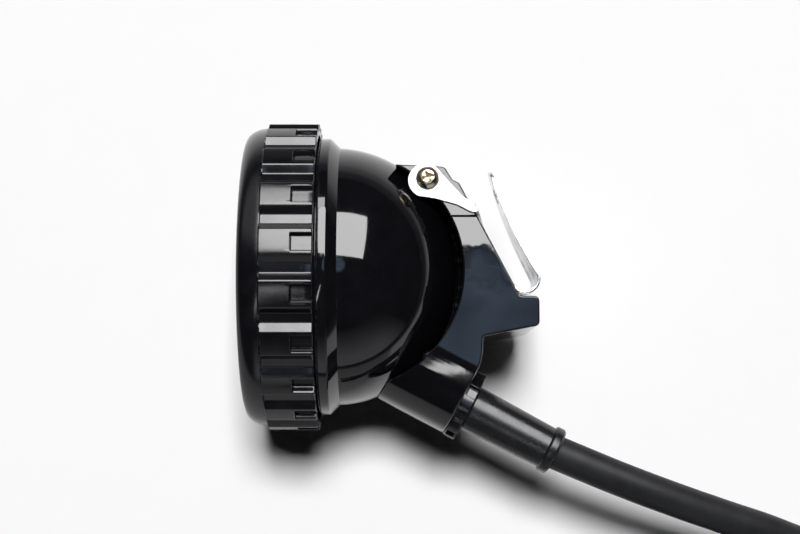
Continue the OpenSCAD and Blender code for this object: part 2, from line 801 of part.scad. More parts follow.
module plug_body() {
    color([0.04, 0.04, 0.045]) on_plug(boot_len) difference() {
        rotate_extrude()
            polygon([[0, 0], [6.6, 0], [plug_r, 1], [plug_r, 9], [6.9, 9.6], [6.9, plug_len - 0.6],
                [6.4, plug_len], [0, plug_len]]);
        for (i = [0:11]) rotate(15 + i * 30) translate([plug_r + 0.4, 0, 2])
            cylinder(r = 0.9, h = 6, $fn = 16);
    }
}

module plug_pins() {
    color([0.85, 0.7, 0.35]) on_plug(boot_len + plug_len) for (y = [-2.6, 2.6])
        translate([0, y, 0]) {
            cylinder(r = 1.2, h = pin_len - 1, $fn = 24);
            translate([0, 0, pin_len - 1]) cylinder(r1 = 1.2, r2 = 0.7, h = 1, $fn = 24);
        }
}

// ---------------------------------------------------------------- nodes

place() bezel_ring();
place() lens();
place() lens_gasket();
place() reflector();
place() led_board();
place() main_led();
place() side_leds();
place() heat_sink();
place() driver_board();
place() engine_screws();
place() bell_shell();
place() base_casing();
place() switch_cover();
place() cover_screws();
place() cap_hook();
place() hook_screws();
place() hook_inserts();
place() gland_nut();
place() gland_washer();
place() gland_seal();
place() strain_relief();
place() cable_tail();
place() lead_wires();
place() switch_wires();
place() contact_plate();
place() fixed_contacts();
place() shaft_seal();
place() switch_knob();
place() switch_shaft();
place() grub_screw();
place() shaft_clip();
place() switch_rotor();
place() wiper_contact();
place() cord_lead();
place() cord_coil();
place() cord_tail();
place() plug_boot();
place() plug_body();
place() plug_pins();
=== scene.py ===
"""Finished pieces, materials and studio for a corded miner's cap lamp.

Every length below is in millimetres of the lamp frame unless a property says metres: X runs along
the optical axis from the plane where the bell starts, and light leaves towards -X.
"""

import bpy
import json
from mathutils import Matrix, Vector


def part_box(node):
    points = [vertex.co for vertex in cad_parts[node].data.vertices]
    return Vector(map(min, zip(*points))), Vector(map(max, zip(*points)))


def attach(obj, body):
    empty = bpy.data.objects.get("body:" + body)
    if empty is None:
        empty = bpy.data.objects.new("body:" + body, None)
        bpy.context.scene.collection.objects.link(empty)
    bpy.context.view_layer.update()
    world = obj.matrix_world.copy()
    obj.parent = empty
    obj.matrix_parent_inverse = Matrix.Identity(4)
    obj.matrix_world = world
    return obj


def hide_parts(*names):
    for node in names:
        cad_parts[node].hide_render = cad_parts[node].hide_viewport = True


bl_info = {
    "name": "Cap Lamp Dresser",
    "version": (1, 0, 0),
    "blender": (4, 5, 0),
    "location": "View3D > Sidebar > Cap Lamp",
    "description": "Builds the finished pieces, materials and studio of a corded cap lamp",
    "category": "Object",
}

import json
import math
from contextlib import contextmanager

import bmesh
import bpy
from bpy.props import FloatProperty, FloatVectorProperty, IntProperty, PointerProperty
from bpy.types import Operator, Panel, PropertyGroup
from mathutils import Matrix, Vector
from mathutils.geometry import convex_hull_2d

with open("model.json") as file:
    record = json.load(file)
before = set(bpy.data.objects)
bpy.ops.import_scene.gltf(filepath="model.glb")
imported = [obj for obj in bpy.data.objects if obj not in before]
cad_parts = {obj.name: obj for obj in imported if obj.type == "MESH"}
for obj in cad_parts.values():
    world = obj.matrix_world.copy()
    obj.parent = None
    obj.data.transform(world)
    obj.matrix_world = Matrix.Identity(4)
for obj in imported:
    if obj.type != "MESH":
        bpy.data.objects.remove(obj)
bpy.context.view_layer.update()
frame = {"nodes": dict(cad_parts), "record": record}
NODES = frame["nodes"]

MM = 0.001
WELD = 2e-6
RING_BACK = -3.9
ring_low, ring_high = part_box("bezel_ring")
LAMP_ORIGIN = Vector(
    (ring_high.x - RING_BACK * MM, (ring_low.y + ring_high.y) / 2, ring_low.z / 2 + ring_high.z / 2)
)

CABLE_DROP = math.radians(27.7)
CABLE_DIR = Vector((math.cos(CABLE_DROP), -math.sin(CABLE_DROP), 0))
BOSS_AT = (30.6, -31)
SLEEVE_LEN = 26.9
KNOB_AT = (36.5, -6)
HALF_W = 18
SHEET = 0.8
EAR_Z = HALF_W - 0.4


def lamp(x, y=0.0, z=0.0):
    """A point of the lamp frame as a point of the row frame, in metres."""
    return LAMP_ORIGIN + Vector((x, y, z)) * MM


def fitted(thing, **facts):
    """Sets properties of a thing by their names and returns it."""
    for name, value in facts.items():
        setattr(thing, name, value)
    return thing


# ---------------------------------------------------------------- settings


class ViewSettings(PropertyGroup):
    """Camera, in metres and radians."""

    look_at: FloatVectorProperty(
        name="Look at", description="Point in the middle of the view", default=lamp(16, 2.5), subtype="XYZ",
        unit="LENGTH",
    )
    distance: FloatProperty(
        name="Distance", description="From the camera to that point", default=0.392, unit="LENGTH"
    )
    tilt: FloatProperty(
        name="Tilt", description="Lean of the line of sight from plumb", default=math.radians(6),
        subtype="ANGLE",
    )
    focal_length: FloatProperty(
        name="Focal length", description="On a 36 mm sensor, in millimetres", default=70.65
    )


class LeadSettings(PropertyGroup):
    """The lead and its coil, in metres."""

    diameter: FloatProperty(name="Diameter", description="Of the jacket", default=8.5 * MM, unit="LENGTH")
    coil_radius: FloatProperty(
        name="Coil radius", description="Of the outer winding", default=52 * MM, unit="LENGTH"
    )
    coil_pitch: FloatProperty(
        name="Coil pitch", description="Between windings", default=9.4 * MM, unit="LENGTH"
    )
    coil_lift: FloatProperty(name="Coil lift", description="Between layers", default=9.1 * MM, unit="LENGTH")
    coil_turns: FloatProperty(name="Coil turns", description="In both layers", default=5.25)
    turn_points: IntProperty(name="Points a turn", description="Curve points in one winding", default=24)


class FinishSettings(PropertyGroup):
    """Colours of the finishes."""

    shell: FloatVectorProperty(
        name="Shell", description="Gloss black plastic", subtype="COLOR", default=(0.0032, 0.0032, 0.0044)
    )
    rubber: FloatVectorProperty(
        name="Sleeve", description="Moulded rubber", subtype="COLOR", default=(0.009, 0.009, 0.0098)
    )
    jacket: FloatVectorProperty(
        name="Jacket", description="The lead's rubber jacket", subtype="COLOR", default=(0.013, 0.013, 0.0145)
    )
    steel: FloatVectorProperty(
        name="Sheet", description="Bright stainless sheet", subtype="COLOR", default=(0.86, 0.86, 0.87)
    )
    brass: FloatVectorProperty(
        name="Plated screw", description="Nickel over brass", subtype="COLOR", default=(0.78, 0.7, 0.52)
    )
    dust: FloatVectorProperty(
        name="Dust", description="Dust on the plastic", subtype="COLOR", default=(0.12, 0.13, 0.15)
    )


class StudioSettings(PropertyGroup):
    """Floor and lights."""

    floor: FloatVectorProperty(
        name="Floor", description="Colour of the floor", subtype="COLOR", default=(0.95, 0.945, 0.955)
    )
    table_reach: FloatProperty(
        name="Table reach", description="How far the white table stays pale", default=0.43, unit="LENGTH"
    )
    overhead: FloatProperty(name="Overhead", description="Strength of the overhead light", default=1.0, min=0)
    window: FloatProperty(
        name="Soft box", description="Brightness of the soft box's face", default=1.0, min=0
    )


SETTINGS = {
    "cap_lamp_view": ViewSettings,
    "cap_lamp_lead": LeadSettings,
    "cap_lamp_finish": FinishSettings,
    "cap_lamp_studio": StudioSettings,
}

# ---------------------------------------------------------------- shader groups


class Nodes:
    """Short way to place and link nodes in one tree."""

    def __init__(self, tree):
        self.tree = tree

    def add(self, kind, inputs=None, **facts):
        node = fitted(self.tree.nodes.new(kind), **facts)
        for name, value in (inputs or {}).items():
            if isinstance(value, bpy.types.NodeSocket):
                self.tree.links.new(value, node.inputs[name])
            else:
                node.inputs[name].default_value = value
        return node

    def send(self, value, socket):
        self.tree.links.new(value, socket)

    def group(self, name, **values):
        """Outputs of a shader group, placed with its own values."""
        return self.add("ShaderNodeGroup", values, node_tree=bpy.data.node_groups[name]).outputs

    def math(self, operation, a, b=0.0, clamp=False):
        return self.add("ShaderNodeMath", {0: a, 1: b}, operation=operation, use_clamp=clamp).outputs[0]

    def product(self, first, *others):
        for other in others:
            first = self.math("MULTIPLY", first, other)
        return first

    def vector(self, operation, a, b=(0, 0, 0)):
        """Outputs of a sum, product or distance of vectors."""
        return self.add("ShaderNodeVectorMath", {0: a, 1: b}, operation=operation).outputs

    def axes(self, vector):
        return self.add("ShaderNodeSeparateXYZ", {0: vector}).outputs

    def place(self):
        """Place on the object, in metres."""
        return self.add("ShaderNodeTexCoord").outputs["Object"]

    def facing(self):
        return self.add("ShaderNodeNewGeometry").outputs["Normal"]

    def noise(self, place, scale, detail, **facts):
        inputs = {"Vector": place, "Scale": scale, "Detail": detail, **facts}
        return self.add("ShaderNodeTexNoise", inputs).outputs["Fac"]

    def per_mm(self, size):
        """Scale of a texture whose cells have a size in millimetres."""
        return self.math("DIVIDE", 1 / MM, size)

    def mix(self, factor, a, b):
        """Mix of two colours, each one a socket or three numbers."""
        a, b = (value if isinstance(value, bpy.types.NodeSocket) else (*value, 1.0) for value in (a, b))
        return self.add("ShaderNodeMix", {0: factor, 6: a, 7: b}, data_type="RGBA").outputs[2]

    def ramp(self, value, low, high, out_low=0.0, out_high=1.0):
        sockets = {"Value": value, "From Min": low, "From Max": high, "To Min": out_low, "To Max": out_high}
        return self.add("ShaderNodeMapRange", sockets, clamp=True).outputs["Result"]


def shader_group(name, inputs, *outputs):
    """A new shader group with float inputs (name: default) and its outputs; gives its nodes and ends."""
    tree = bpy.data.node_groups.new(name, "ShaderNodeTree")
    for label, default in inputs.items():
        socket = tree.interface.new_socket(label, in_out="INPUT", socket_type="NodeSocketFloat")
        socket.default_value = default
    for label in outputs:
        kind = "NodeSocketVector" if label == "Normal" else "NodeSocketFloat"
        tree.interface.new_socket(label, in_out="OUTPUT", socket_type=kind)
    nodes = Nodes(tree)
    return nodes, nodes.add("NodeGroupInput").outputs, nodes.add("NodeGroupOutput").inputs


def grain_group():
    """Fine grain: a height for a bump and a slow change for the roughness. Sizes are in millimetres."""
    nodes, given, out = shader_group("surface_grain", {"Size": 0.3, "Drift": 9.0}, "Height", "Slow")
    place = nodes.place()
    nodes.send(nodes.noise(place, nodes.per_mm(given["Size"]), 2.0), out["Height"])
    slow = nodes.noise(place, nodes.per_mm(given["Drift"]), 3.0, Distortion=0.6)
    nodes.send(nodes.ramp(slow, 0.3, 0.7), out["Slow"])


def dust_group():
    """Specks and a thin film of dust, more of it on faces that look up."""
    values = {"Film": 0.2, "Specks": 0.5, "Spacing": 1.3}
    nodes, given, out = shader_group("dust_and_specks", values, "Mask")
    place = nodes.place()
    upward = nodes.ramp(nodes.axes(nodes.facing())["Z"], 0.2, 0.95)
    spaced = {"Vector": place, "Scale": nodes.per_mm(given["Spacing"])}
    cells = nodes.add("ShaderNodeTexVoronoi", spaced).outputs
    reach = nodes.ramp(nodes.axes(cells["Color"])["X"], 0.7, 1.0, 0.0, 0.09)
    speck = nodes.product(nodes.math("LESS_THAN", cells["Distance"], reach), given["Specks"])
    cloud = nodes.noise(place, 160.0, 8.0, Roughness=0.65)
    film = nodes.product(nodes.ramp(cloud, 0.35, 0.8), given["Film"])
    both = nodes.math("MULTIPLY", nodes.math("MAXIMUM", film, speck), upward, clamp=True)
    nodes.send(both, out["Mask"])


def wear_group():
    """Rubbed edges: where the rounded normal leaves the face's own, broken up by noise."""
    nodes, given, out = shader_group("rubbed_edges", {"Radius": 0.35, "Amount": 0.5}, "Mask")
    radius = nodes.product(given["Radius"], MM)
    round_normal = nodes.add("ShaderNodeBevel", {"Radius": radius}, samples=4).outputs["Normal"]
    agree = nodes.vector("DOT_PRODUCT", nodes.facing(), round_normal)["Value"]
    patches = nodes.ramp(nodes.noise(nodes.place(), 700.0, 4.0), 0.45, 0.65)
    nodes.send(nodes.product(nodes.ramp(agree, 0.995, 0.9), patches, given["Amount"]), out["Mask"])


def crown_group():
    """Normal of level faces that are faintly crowned: past a line it leans to +Y, in radians a metre."""
    nodes, given, out = shader_group("crowned_face", {"Start": 0.001, "Lean": 4.0}, "Normal")
    facing = nodes.facing()
    level = nodes.ramp(nodes.math("ABSOLUTE", nodes.axes(facing)["Z"]), 0.998, 0.9998)
    place = nodes.place()
    sunk = nodes.ramp(nodes.noise(place, 110.0, 5.0), 0.3, 0.7, -0.006, 0.006)
    start = nodes.math("ADD", given["Start"], sunk)
    beyond = nodes.math("SUBTRACT", nodes.axes(place)["Y"], start)
    lean = nodes.product(nodes.math("MAXIMUM", beyond, 0.0), given["Lean"], level)
    aside = nodes.add("ShaderNodeCombineXYZ", {"Y": lean}).outputs[0]
    tilted = nodes.vector("ADD", facing, aside)["Vector"]
    nodes.send(nodes.vector("NORMALIZE", tilted)["Vector"], out["Normal"])


def brushed_group():
    """Fine drawn lines of rolled sheet, along the frame's Z."""
    nodes, given, out = shader_group("rolled_lines", {"Width": 0.08}, "Height")
    stretch = {"Vector": nodes.place(), "Scale": (1.0, 1.0, 0.02)}
    stretched = nodes.add("ShaderNodeMapping", stretch).outputs["Vector"]
    nodes.send(nodes.noise(stretched, nodes.per_mm(given["Width"]), 2.0), out["Height"])


# ---------------------------------------------------------------- materials


FINISH_PREFIX = "finish_"


def material_of(slot):
    return bpy.data.materials[FINISH_PREFIX + slot]


def shaded_colour(colour, share):
    return tuple(channel * share for channel in colour)


def new_material(name, **sockets):
    """A material's nodes and the sockets of its Principled shader, some of them set by name."""
    material = bpy.data.materials.new(FINISH_PREFIX + name)
    material.use_nodes = True
    shader = material.node_tree.nodes["Principled BSDF"].inputs
    for label, value in sockets.items():
        shader[label.replace("_", " ")].default_value = value
    return Nodes(material.node_tree), shader


def add_bump(nodes, shader, height, depth, **normal):
    """Bump of a depth in micrometres, over the face's own normal or a given one."""
    facts = {"Height": height, "Distance": depth * 1e-6, "Strength": 1.0, **normal}
    nodes.send(nodes.add("ShaderNodeBump", facts).outputs["Normal"], shader["Normal"])


def add_grain(nodes, shader, size, depth, gloss, drift=9.0, **normal):
    """Bump from fine grain, and a roughness that changes slowly between two values."""
    grain = nodes.group("surface_grain", Size=size, Drift=drift)
    nodes.send(nodes.ramp(grain["Slow"], 0.0, 1.0, *gloss), shader["Roughness"])
    add_bump(nodes, shader, grain["Height"], depth, **normal)


def moulded_plastic(name, colour, dust, gloss, film, specks=0.5, crown=0.0):
    """Gloss moulded plastic: a little dust, rubbed edges, a faint ripple and crowned level faces."""
    nodes, shader = new_material(name, IOR=1.58)
    dusty = nodes.group("dust_and_specks", Film=film, Specks=specks)["Mask"]
    worn = nodes.group("rubbed_edges", Radius=0.3, Amount=0.4)["Mask"]
    nodes.send(nodes.mix(nodes.math("MAXIMUM", dusty, worn), colour, dust), shader["Base Color"])
    normal = nodes.group("crowned_face", Lean=crown)["Normal"]
    add_grain(nodes, shader, 1.6, 1.2, gloss, Normal=normal)


def rubber(name, colour, dust, gloss, size, depth, sheen=0.5):
    """Moulded or extruded rubber."""
    nodes, shader = new_material(name, Specular_IOR_Level=sheen)
    dusty = nodes.group("dust_and_specks", Film=0.12, Specks=0.6, Spacing=1.0)["Mask"]
    nodes.send(nodes.mix(dusty, colour, dust), shader["Base Color"])
    add_grain(nodes, shader, size, depth, gloss, drift=4.0)


def metal(name, colour, gloss, grain=0.12, depth=1.0, tarnish=0.85):
    """Plain machined, plated or cast metal with faint tarnish."""
    nodes, shader = new_material(name, Metallic=1.0)
    stains = nodes.group("surface_grain", Size=grain, Drift=2.5)["Slow"]
    nodes.send(nodes.mix(stains, colour, shaded_colour(colour, tarnish)), shader["Base Color"])
    add_grain(nodes, shader, grain, depth, gloss, drift=3.0)


def rolled_sheet(name, colour):
    """Bright stainless sheet with fine rolled lines."""
    nodes, shader = new_material(name, Metallic=1.0)
    slow = nodes.group("surface_grain", Size=0.2, Drift=5.0)["Slow"]
    nodes.send(nodes.mix(slow, colour, shaded_colour(colour, 0.9)), shader["Base Color"])
    nodes.send(nodes.ramp(slow, 0.0, 1.0, 0.16, 0.28), shader["Roughness"])
    add_bump(nodes, shader, nodes.group("rolled_lines", Width=0.08)["Height"], 1.5)


def plain_moulding(name, colour, gloss, vary=0.8):
    """Inner mouldings, boards and insulation: one colour with a slow change."""
    nodes, shader = new_material(name)
    slow = nodes.group("surface_grain", Size=0.4, Drift=3.0)["Slow"]
    nodes.send(nodes.mix(slow, colour, shaded_colour(colour, vary)), shader["Base Color"])
    add_grain(nodes, shader, 0.4, 2.0, (gloss - 0.06, gloss + 0.06))


def clear_moulding(name, colour, gloss):
    """Clear lens or epoxy, with faint smears in its gloss."""
    nodes, shader = new_material(name, IOR=1.55, Transmission_Weight=1.0, Base_Color=(*colour, 1.0))
    slow = nodes.group("surface_grain", Size=1.5, Drift=7.0)["Slow"]
    nodes.send(nodes.ramp(slow, 0.0, 1.0, gloss, gloss + 0.05), shader["Roughness"])


def make_materials(finish):
    """The shader groups and every material of the lamp, by the name of its slot."""
    for build in (grain_group, dust_group, wear_group, crown_group, brushed_group):
        build()
    shell, dust, sleeve = tuple(finish.shell), tuple(finish.dust), tuple(finish.rubber)
    moulded_plastic("bezel_plastic", shell, dust, (0.13, 0.2), film=0.05, specks=0.3)
    moulded_plastic("shell_plastic", shell, dust, (0.04, 0.075), film=0.03, crown=4.0)
    moulded_plastic("knob_plastic", shell, dust, (0.2, 0.3), film=0.05)
    moulded_plastic("nut_plastic", shell, dust, (0.16, 0.24), film=0.08)
    moulded_plastic("plug_plastic", shell, dust, (0.24, 0.34), film=0.08)
    clear_moulding("clear_lens", (0.97, 0.985, 0.99), 0.02)
    clear_moulding("led_clear", (0.95, 0.97, 1.0), 0.05)
    rubber("seal_rubber", sleeve, dust, (0.5, 0.6), 0.3, 6.0)
    rubber("sleeve_rubber", sleeve, dust, (0.2, 0.3), 0.35, 7.0)
    rubber("cable_rubber", tuple(finish.jacket), dust, (0.42, 0.54), 0.22, 9.0, sheen=0.22)
    rolled_sheet("hook_steel", tuple(finish.steel))
    metal("plated_screw", tuple(finish.brass), (0.14, 0.26))
    metal("mirror_coat", (0.93, 0.93, 0.94), (0.03, 0.07), grain=0.8, depth=0.6, tarnish=0.97)
    metal("zinc_steel", (0.6, 0.61, 0.62), (0.25, 0.4))
    metal("contact_brass", (0.8, 0.6, 0.28), (0.2, 0.35))
    metal("sink_aluminium", (0.68, 0.69, 0.7), (0.4, 0.55), grain=0.3, depth=6.0)
    plain_moulding("board_white", (0.8, 0.8, 0.77), 0.4, vary=0.93)
    plain_moulding("board_green", (0.03, 0.2, 0.09), 0.35)
    plain_moulding("contact_board", (0.3, 0.15, 0.06), 0.5)
    plain_moulding("led_phosphor", (0.85, 0.62, 0.08), 0.3, vary=0.9)
    plain_moulding("rotor_plastic", (0.75, 0.74, 0.68), 0.45, vary=0.92)
    plain_moulding("wire_red", (0.45, 0.02, 0.02), 0.4)
    plain_moulding("wire_blue", (0.02, 0.05, 0.35), 0.4)


# ---------------------------------------------------------------- mesh helpers


def rounded(corners, closed=True):
    """A line through 2D corners; a corner with a third number is rounded off to about that radius."""
    line = []
    count = len(corners)
    for i, corner in enumerate(corners):
        here = Vector(corner[:2])
        if len(corner) == 2 or not closed and i in (0, count - 1):
            line.append(here)
            continue
        before = Vector(corners[i - 1][:2]) - here
        after = Vector(corners[(i + 1) % count][:2]) - here
        half = max(before.angle(after) / 2, 0.05)
        reach = min(corner[2] / math.tan(half), before.length * 0.48, after.length * 0.48)
        start = here + before.normalized() * reach
        end = here + after.normalized() * reach
        for t in (0.0, 0.25, 0.5, 0.75, 1.0):
            line.append(start.lerp(here, t).lerp(here.lerp(end, t), t))
    return line


def arc(centre, radius, first, last, steps):
    """2D points on an arc between two angles in degrees."""
    turns = [math.radians(first + (last - first) * k / steps) for k in range(steps + 1)]
    return [(centre[0] + radius * math.cos(a), centre[1] + radius * math.sin(a)) for a in turns]


def axis_frame(origin, direction):
    """Frame whose Z runs along a level direction, X straight down and Y square to both."""
    along = Vector(direction).normalized()
    down = Vector((0, 0, -1))
    side = along.cross(down)
    return Matrix.Translation(origin) @ Matrix((down, side, along)).transposed().to_4x4()


LAMP_AXIS = axis_frame(LAMP_ORIGIN, (1, 0, 0))
CABLE_AXIS = axis_frame(lamp(*BOSS_AT), CABLE_DIR)
KNOB_AXIS = Matrix.Translation(lamp(*KNOB_AT))


def shaded(mesh, sharp=math.radians(30)):
    """Smooth shading, with sharp edges where faces meet at more than an angle."""
    mesh.shade_smooth()
    mesh.set_sharp_from_angle(angle=sharp)
    return mesh


def grid_mesh(name, rows, wrap_rows=False, wrap_columns=False):
    """Mesh of a grid of points, given as equal rows; either way round may close on itself."""
    mesh = bpy.data.meshes.new(name)
    width, height = len(rows[0]), len(rows)
    points = [point for row in rows for point in row]
    faces = []
    for j in range(height if wrap_rows else height - 1):
        for i in range(width if wrap_columns else width - 1):
            a, b = j * width, (j + 1) % height * width
            k = (i + 1) % width
            faces.append((a + i, a + k, b + k, b + i))
    mesh.from_pydata(points, [], faces)
    return mesh


@contextmanager
def opened(mesh):
    """A mesh opened for editing, and written back afterwards."""
    bm = bmesh.new()
    bm.from_mesh(mesh)
    yield bm
    bm.to_mesh(mesh)
    bm.free()


def cleaned(mesh, outward=True):
    """Welds a mesh's doubles, drops empty faces and loose edges and, if asked, turns normals outward."""
    with opened(mesh) as bm:
        bmesh.ops.remove_doubles(bm, verts=bm.verts, dist=WELD)
        bmesh.ops.dissolve_degenerate(bm, edges=bm.edges, dist=WELD / 2)
        bmesh.ops.delete(bm, geom=[edge for edge in bm.edges if edge.is_wire], context="EDGES")
        if outward:
            bmesh.ops.recalc_face_normals(bm, faces=bm.faces)
    return mesh


def swung(place, profile, angle):
    """A 2D profile of (distance along, radius), in millimetres, at an angle round the Z of a frame."""
    grown = place @ Matrix.Scale(MM, 4)
    return [grown @ Vector((r * math.cos(angle), r * math.sin(angle), x)) for x, r in profile]


def turned(name, profile, place, steps=128, closed=True):
    """Solid of a 2D profile turned about the Z of a frame, from a closed line or one from axis to axis."""
    rows = [swung(place, profile, 2 * math.pi * k / steps) for k in range(steps)]
    mesh = grid_mesh(name, rows, wrap_rows=True, wrap_columns=closed)
    return new_object(name, shaded(cleaned(mesh)))


def prism(name, low, high):
    """Solid between two outlines of as many points."""
    mesh = bpy.data.meshes.new(name)
    count = len(low)
    walls = [(i, (i + 1) % count, (i + 1) % count + count, i + count) for i in range(count)]
    mesh.from_pydata(low + high, [], [tuple(reversed(range(count))), tuple(range(count, 2 * count)), *walls])
    return new_object(name, cleaned(mesh))


def slab(name, outline, z_from, z_to):
    """Flat plate between two heights of the lamp frame, from its outline."""
    low, high = ([lamp(x, y, z) for x, y in outline] for z in (z_from, z_to))
    return prism(name, low, high)


def new_object(name, data):
    thing = bpy.data.objects.new(name, data)
    bpy.context.scene.collection.objects.link(thing)
    return thing


def baked(piece):
    """Applies a piece's modifiers and gives a new plain object in its place."""
    graph = bpy.context.evaluated_depsgraph_get()
    mesh = bpy.data.meshes.new_from_object(piece.evaluated_get(graph))
    name, old = piece.name, piece.data
    bpy.data.objects.remove(piece)
    if old.users == 0:
        bpy.data.meshes.remove(old)
    mesh.name = name
    return new_object(name, mesh)


def finish(piece, slot, body="headpiece", stands_for=()):
    """Gives a piece the material of a slot, sets it on a body and hides the CAD nodes it stands for."""
    piece.data.materials.clear()
    piece.data.materials.append(material_of(slot))
    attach(piece, body)
    if stands_for:
        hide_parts(*stands_for)


def combined(piece, operation, tools):
    """Adds solids to a piece or takes them away from it."""
    for tool in tools:
        modifier = piece.modifiers.new("combine", "BOOLEAN")
        fitted(modifier, operation=operation, solver="EXACT", object=tool)
    result = baked(piece)
    for tool in tools:
        bpy.data.objects.remove(tool)
    return result


def bevelled(piece, width, segments, sharp, miter="MITER_SHARP", clamp=False):
    """Rounds off the edges where a piece's faces meet at more than an angle."""
    fitted(
        piece.modifiers.new("round", "BEVEL"), width=width * MM, segments=segments, limit_method="ANGLE",
        angle_limit=sharp, use_clamp_overlap=clamp, miter_outer=miter,
    )
    return baked(piece)


def softened(name, node, width, segments=3, cutters=(), weld=WELD):
    """A copy of a CAD node, less some cutters, whose doubles are welded and edges rounded off."""
    mesh = NODES[node].data.copy()
    for layer in ("custom_normal", "sharp_edge", "sharp_face"):
        if layer in mesh.attributes:
            mesh.attributes.remove(mesh.attributes[layer])
    cleaned(mesh, outward=False)
    piece = new_object(name, mesh)
    if cutters:
        piece = combined(piece, "DIFFERENCE", cutters)
    with opened(piece.data) as bm:
        bmesh.ops.remove_doubles(bm, verts=bm.verts, dist=weld)
        bmesh.ops.dissolve_limit(bm, angle_limit=math.radians(0.5), verts=bm.verts, edges=bm.edges)
    return flat_faced(bevelled(piece, width, segments, math.radians(32), "MITER_ARC"), math.radians(40))


def flat_faced(piece, sharp):
    """Smooth shading whose normals follow the large faces, so that they stay flat beside rounded edges."""
    shaded(piece.data, sharp)
    fitted(piece.modifiers.new("normals", "WEIGHTED_NORMAL"), keep_sharp=True, weight=90)
    return baked(piece)


# ---------------------------------------------------------------- geometry node trees


def geometry_tree(name, inputs):
    """A new geometry tree with the given inputs (name: socket kind) and one geometry in and out."""
    tree = bpy.data.node_groups.new(name, "GeometryNodeTree")
    for label, kind in {"Geometry": "Geometry", **inputs}.items():
        tree.interface.new_socket(label, in_out="INPUT", socket_type="NodeSocket" + kind)
    tree.interface.new_socket("Geometry", in_out="OUTPUT", socket_type="NodeSocketGeometry")
    nodes = Nodes(tree)
    return nodes, nodes.add("NodeGroupInput").outputs, nodes.add("NodeGroupOutput").inputs


def end_tree(nodes, points, shape, turn, given, out):
    """Sets a shape on points, realizes and welds the copies and sets their material."""
    facts = {"Points": points, "Instance": shape, "Rotation": turn}
    copies = nodes.add("GeometryNodeInstanceOnPoints", facts).outputs["Instances"]
    real = nodes.add("GeometryNodeRealizeInstances", {"Geometry": copies}).outputs["Geometry"]
    welded = nodes.add("GeometryNodeMergeByDistance", {"Geometry": real, "Distance": WELD * 4})
    dressing = {"Geometry": welded.outputs["Geometry"], "Material": given["Material"]}
    nodes.send(nodes.add("GeometryNodeSetMaterial", dressing).outputs["Geometry"], out["Geometry"])


def ring_tree():
    """Repeats one sector round an axis."""
    kinds = {"Count": "Int", "Centre": "Vector", "Axis": "Vector", "Material": "Material"}
    nodes, given, out = geometry_tree("repeat_round", kinds)
    opposite = {0: given["Centre"], "Scale": -1.0}
    back = nodes.add("ShaderNodeVectorMath", opposite, operation="SCALE").outputs[0]
    sector = nodes.add("GeometryNodeTransform", {"Geometry": given["Geometry"], "Translation": back})
    points = nodes.add("GeometryNodePoints", {"Count": given["Count"], "Position": given["Centre"]})
    step = nodes.math("DIVIDE", 2 * math.pi, given["Count"])
    angle = nodes.product(nodes.add("GeometryNodeInputIndex").outputs[0], step)
    turn = nodes.add("FunctionNodeAxisAngleToRotation", {"Axis": given["Axis"], "Angle": angle})
    end_tree(nodes, points.outputs[0], sector.outputs["Geometry"], turn.outputs[0], given, out)


def places_tree():
    """Sets a shape on every vertex, its Z along the vertex's own facing attribute."""
    nodes, given, out = geometry_tree("repeat_at_places", {"Shape": "Object", "Material": "Material"})
    shape = nodes.add("GeometryNodeObjectInfo", {"Object": given["Shape"]}, transform_space="ORIGINAL")
    facing = nodes.add("GeometryNodeInputNamedAttribute", {"Name": "facing"}, data_type="FLOAT_VECTOR")
    turn = nodes.add("FunctionNodeAlignRotationToVector", {"Vector": facing.outputs["Attribute"]}, axis="Z")
    points = nodes.add("GeometryNodeMeshToPoints", {"Mesh": given["Geometry"]})
    end_tree(nodes, points.outputs["Points"], shape.outputs["Geometry"], turn.outputs["Rotation"], given, out)


def set_inputs(piece, tree, values):
    """Adds a geometry tree to a piece and sets its inputs by their sockets' identifiers."""
    modifier = piece.modifiers.new(tree, "NODES")
    modifier.node_group = bpy.data.node_groups[tree]
    for item in modifier.node_group.interface.items_tree:
        if item.in_out == "INPUT" and item.name in values:
            modifier[item.identifier] = values[item.name]


def repeated_round(name, sector, count, place, slot):
    """One sector mesh repeated round the Z of a frame, as a plain object."""
    piece = new_object(name, sector)
    facts = {"Count": count, "Centre": place.translation, "Axis": place.col[2].xyz}
    set_inputs(piece, "repeat_round", {**facts, "Material": material_of(slot)})
    piece = baked(piece)
    shaded(cleaned(piece.data))
    return piece


def repeated_at(name, shape, places, slot):
    """A shape, drawn round the origin with Z outward, set on (point, facing) places."""
    host = bpy.data.meshes.new(name)
    host.from_pydata([point for point, facing in places], [], [])
    layer = host.attributes.new("facing", "FLOAT_VECTOR", "POINT")
    for item, (point, facing) in zip(layer.data, places):
        item.vector = facing
    piece = new_object(name, host)
    set_inputs(piece, "repeat_at_places", {"Shape": shape, "Material": material_of(slot)})
    piece = baked(piece)
    bpy.data.objects.remove(shape)
    return piece


# ---------------------------------------------------------------- bezel ring

RING_R = 38.0
LANDS = 20
LAND_PHASE = math.radians(11.4)
GROOVE = 1.5
BAND = (-16.15, RING_BACK)
LIP_X = -21.5
LIP_R = 36.9
LIP_ROUND = 3.3
LIP_LEN = 5.35
LAND_TOP = 2.98
LAND_FOOT = 4.78
POCKET_X = -8.9
POCKET_FLOOR = 1.77
POCKET_TOP = 2.12
POCKET_DEPTH = 1.5
BORE_R = 35.25
LUG_PHASE = math.radians(45)


def soft_ramp(t, soft):
    """0 below zero and t above, with a round of half width soft between."""
    if t <= -soft:
        return 0.0
    if t >= soft:
        return t
    return (t + soft) ** 2 / (4 * soft)


def soft_step(t, start, end, soft):
    """From 0 at start to 1 at end in a straight line with rounded corners."""
    return (soft_ramp(t - start, soft) - soft_ramp(t - end, soft)) / (end - start)


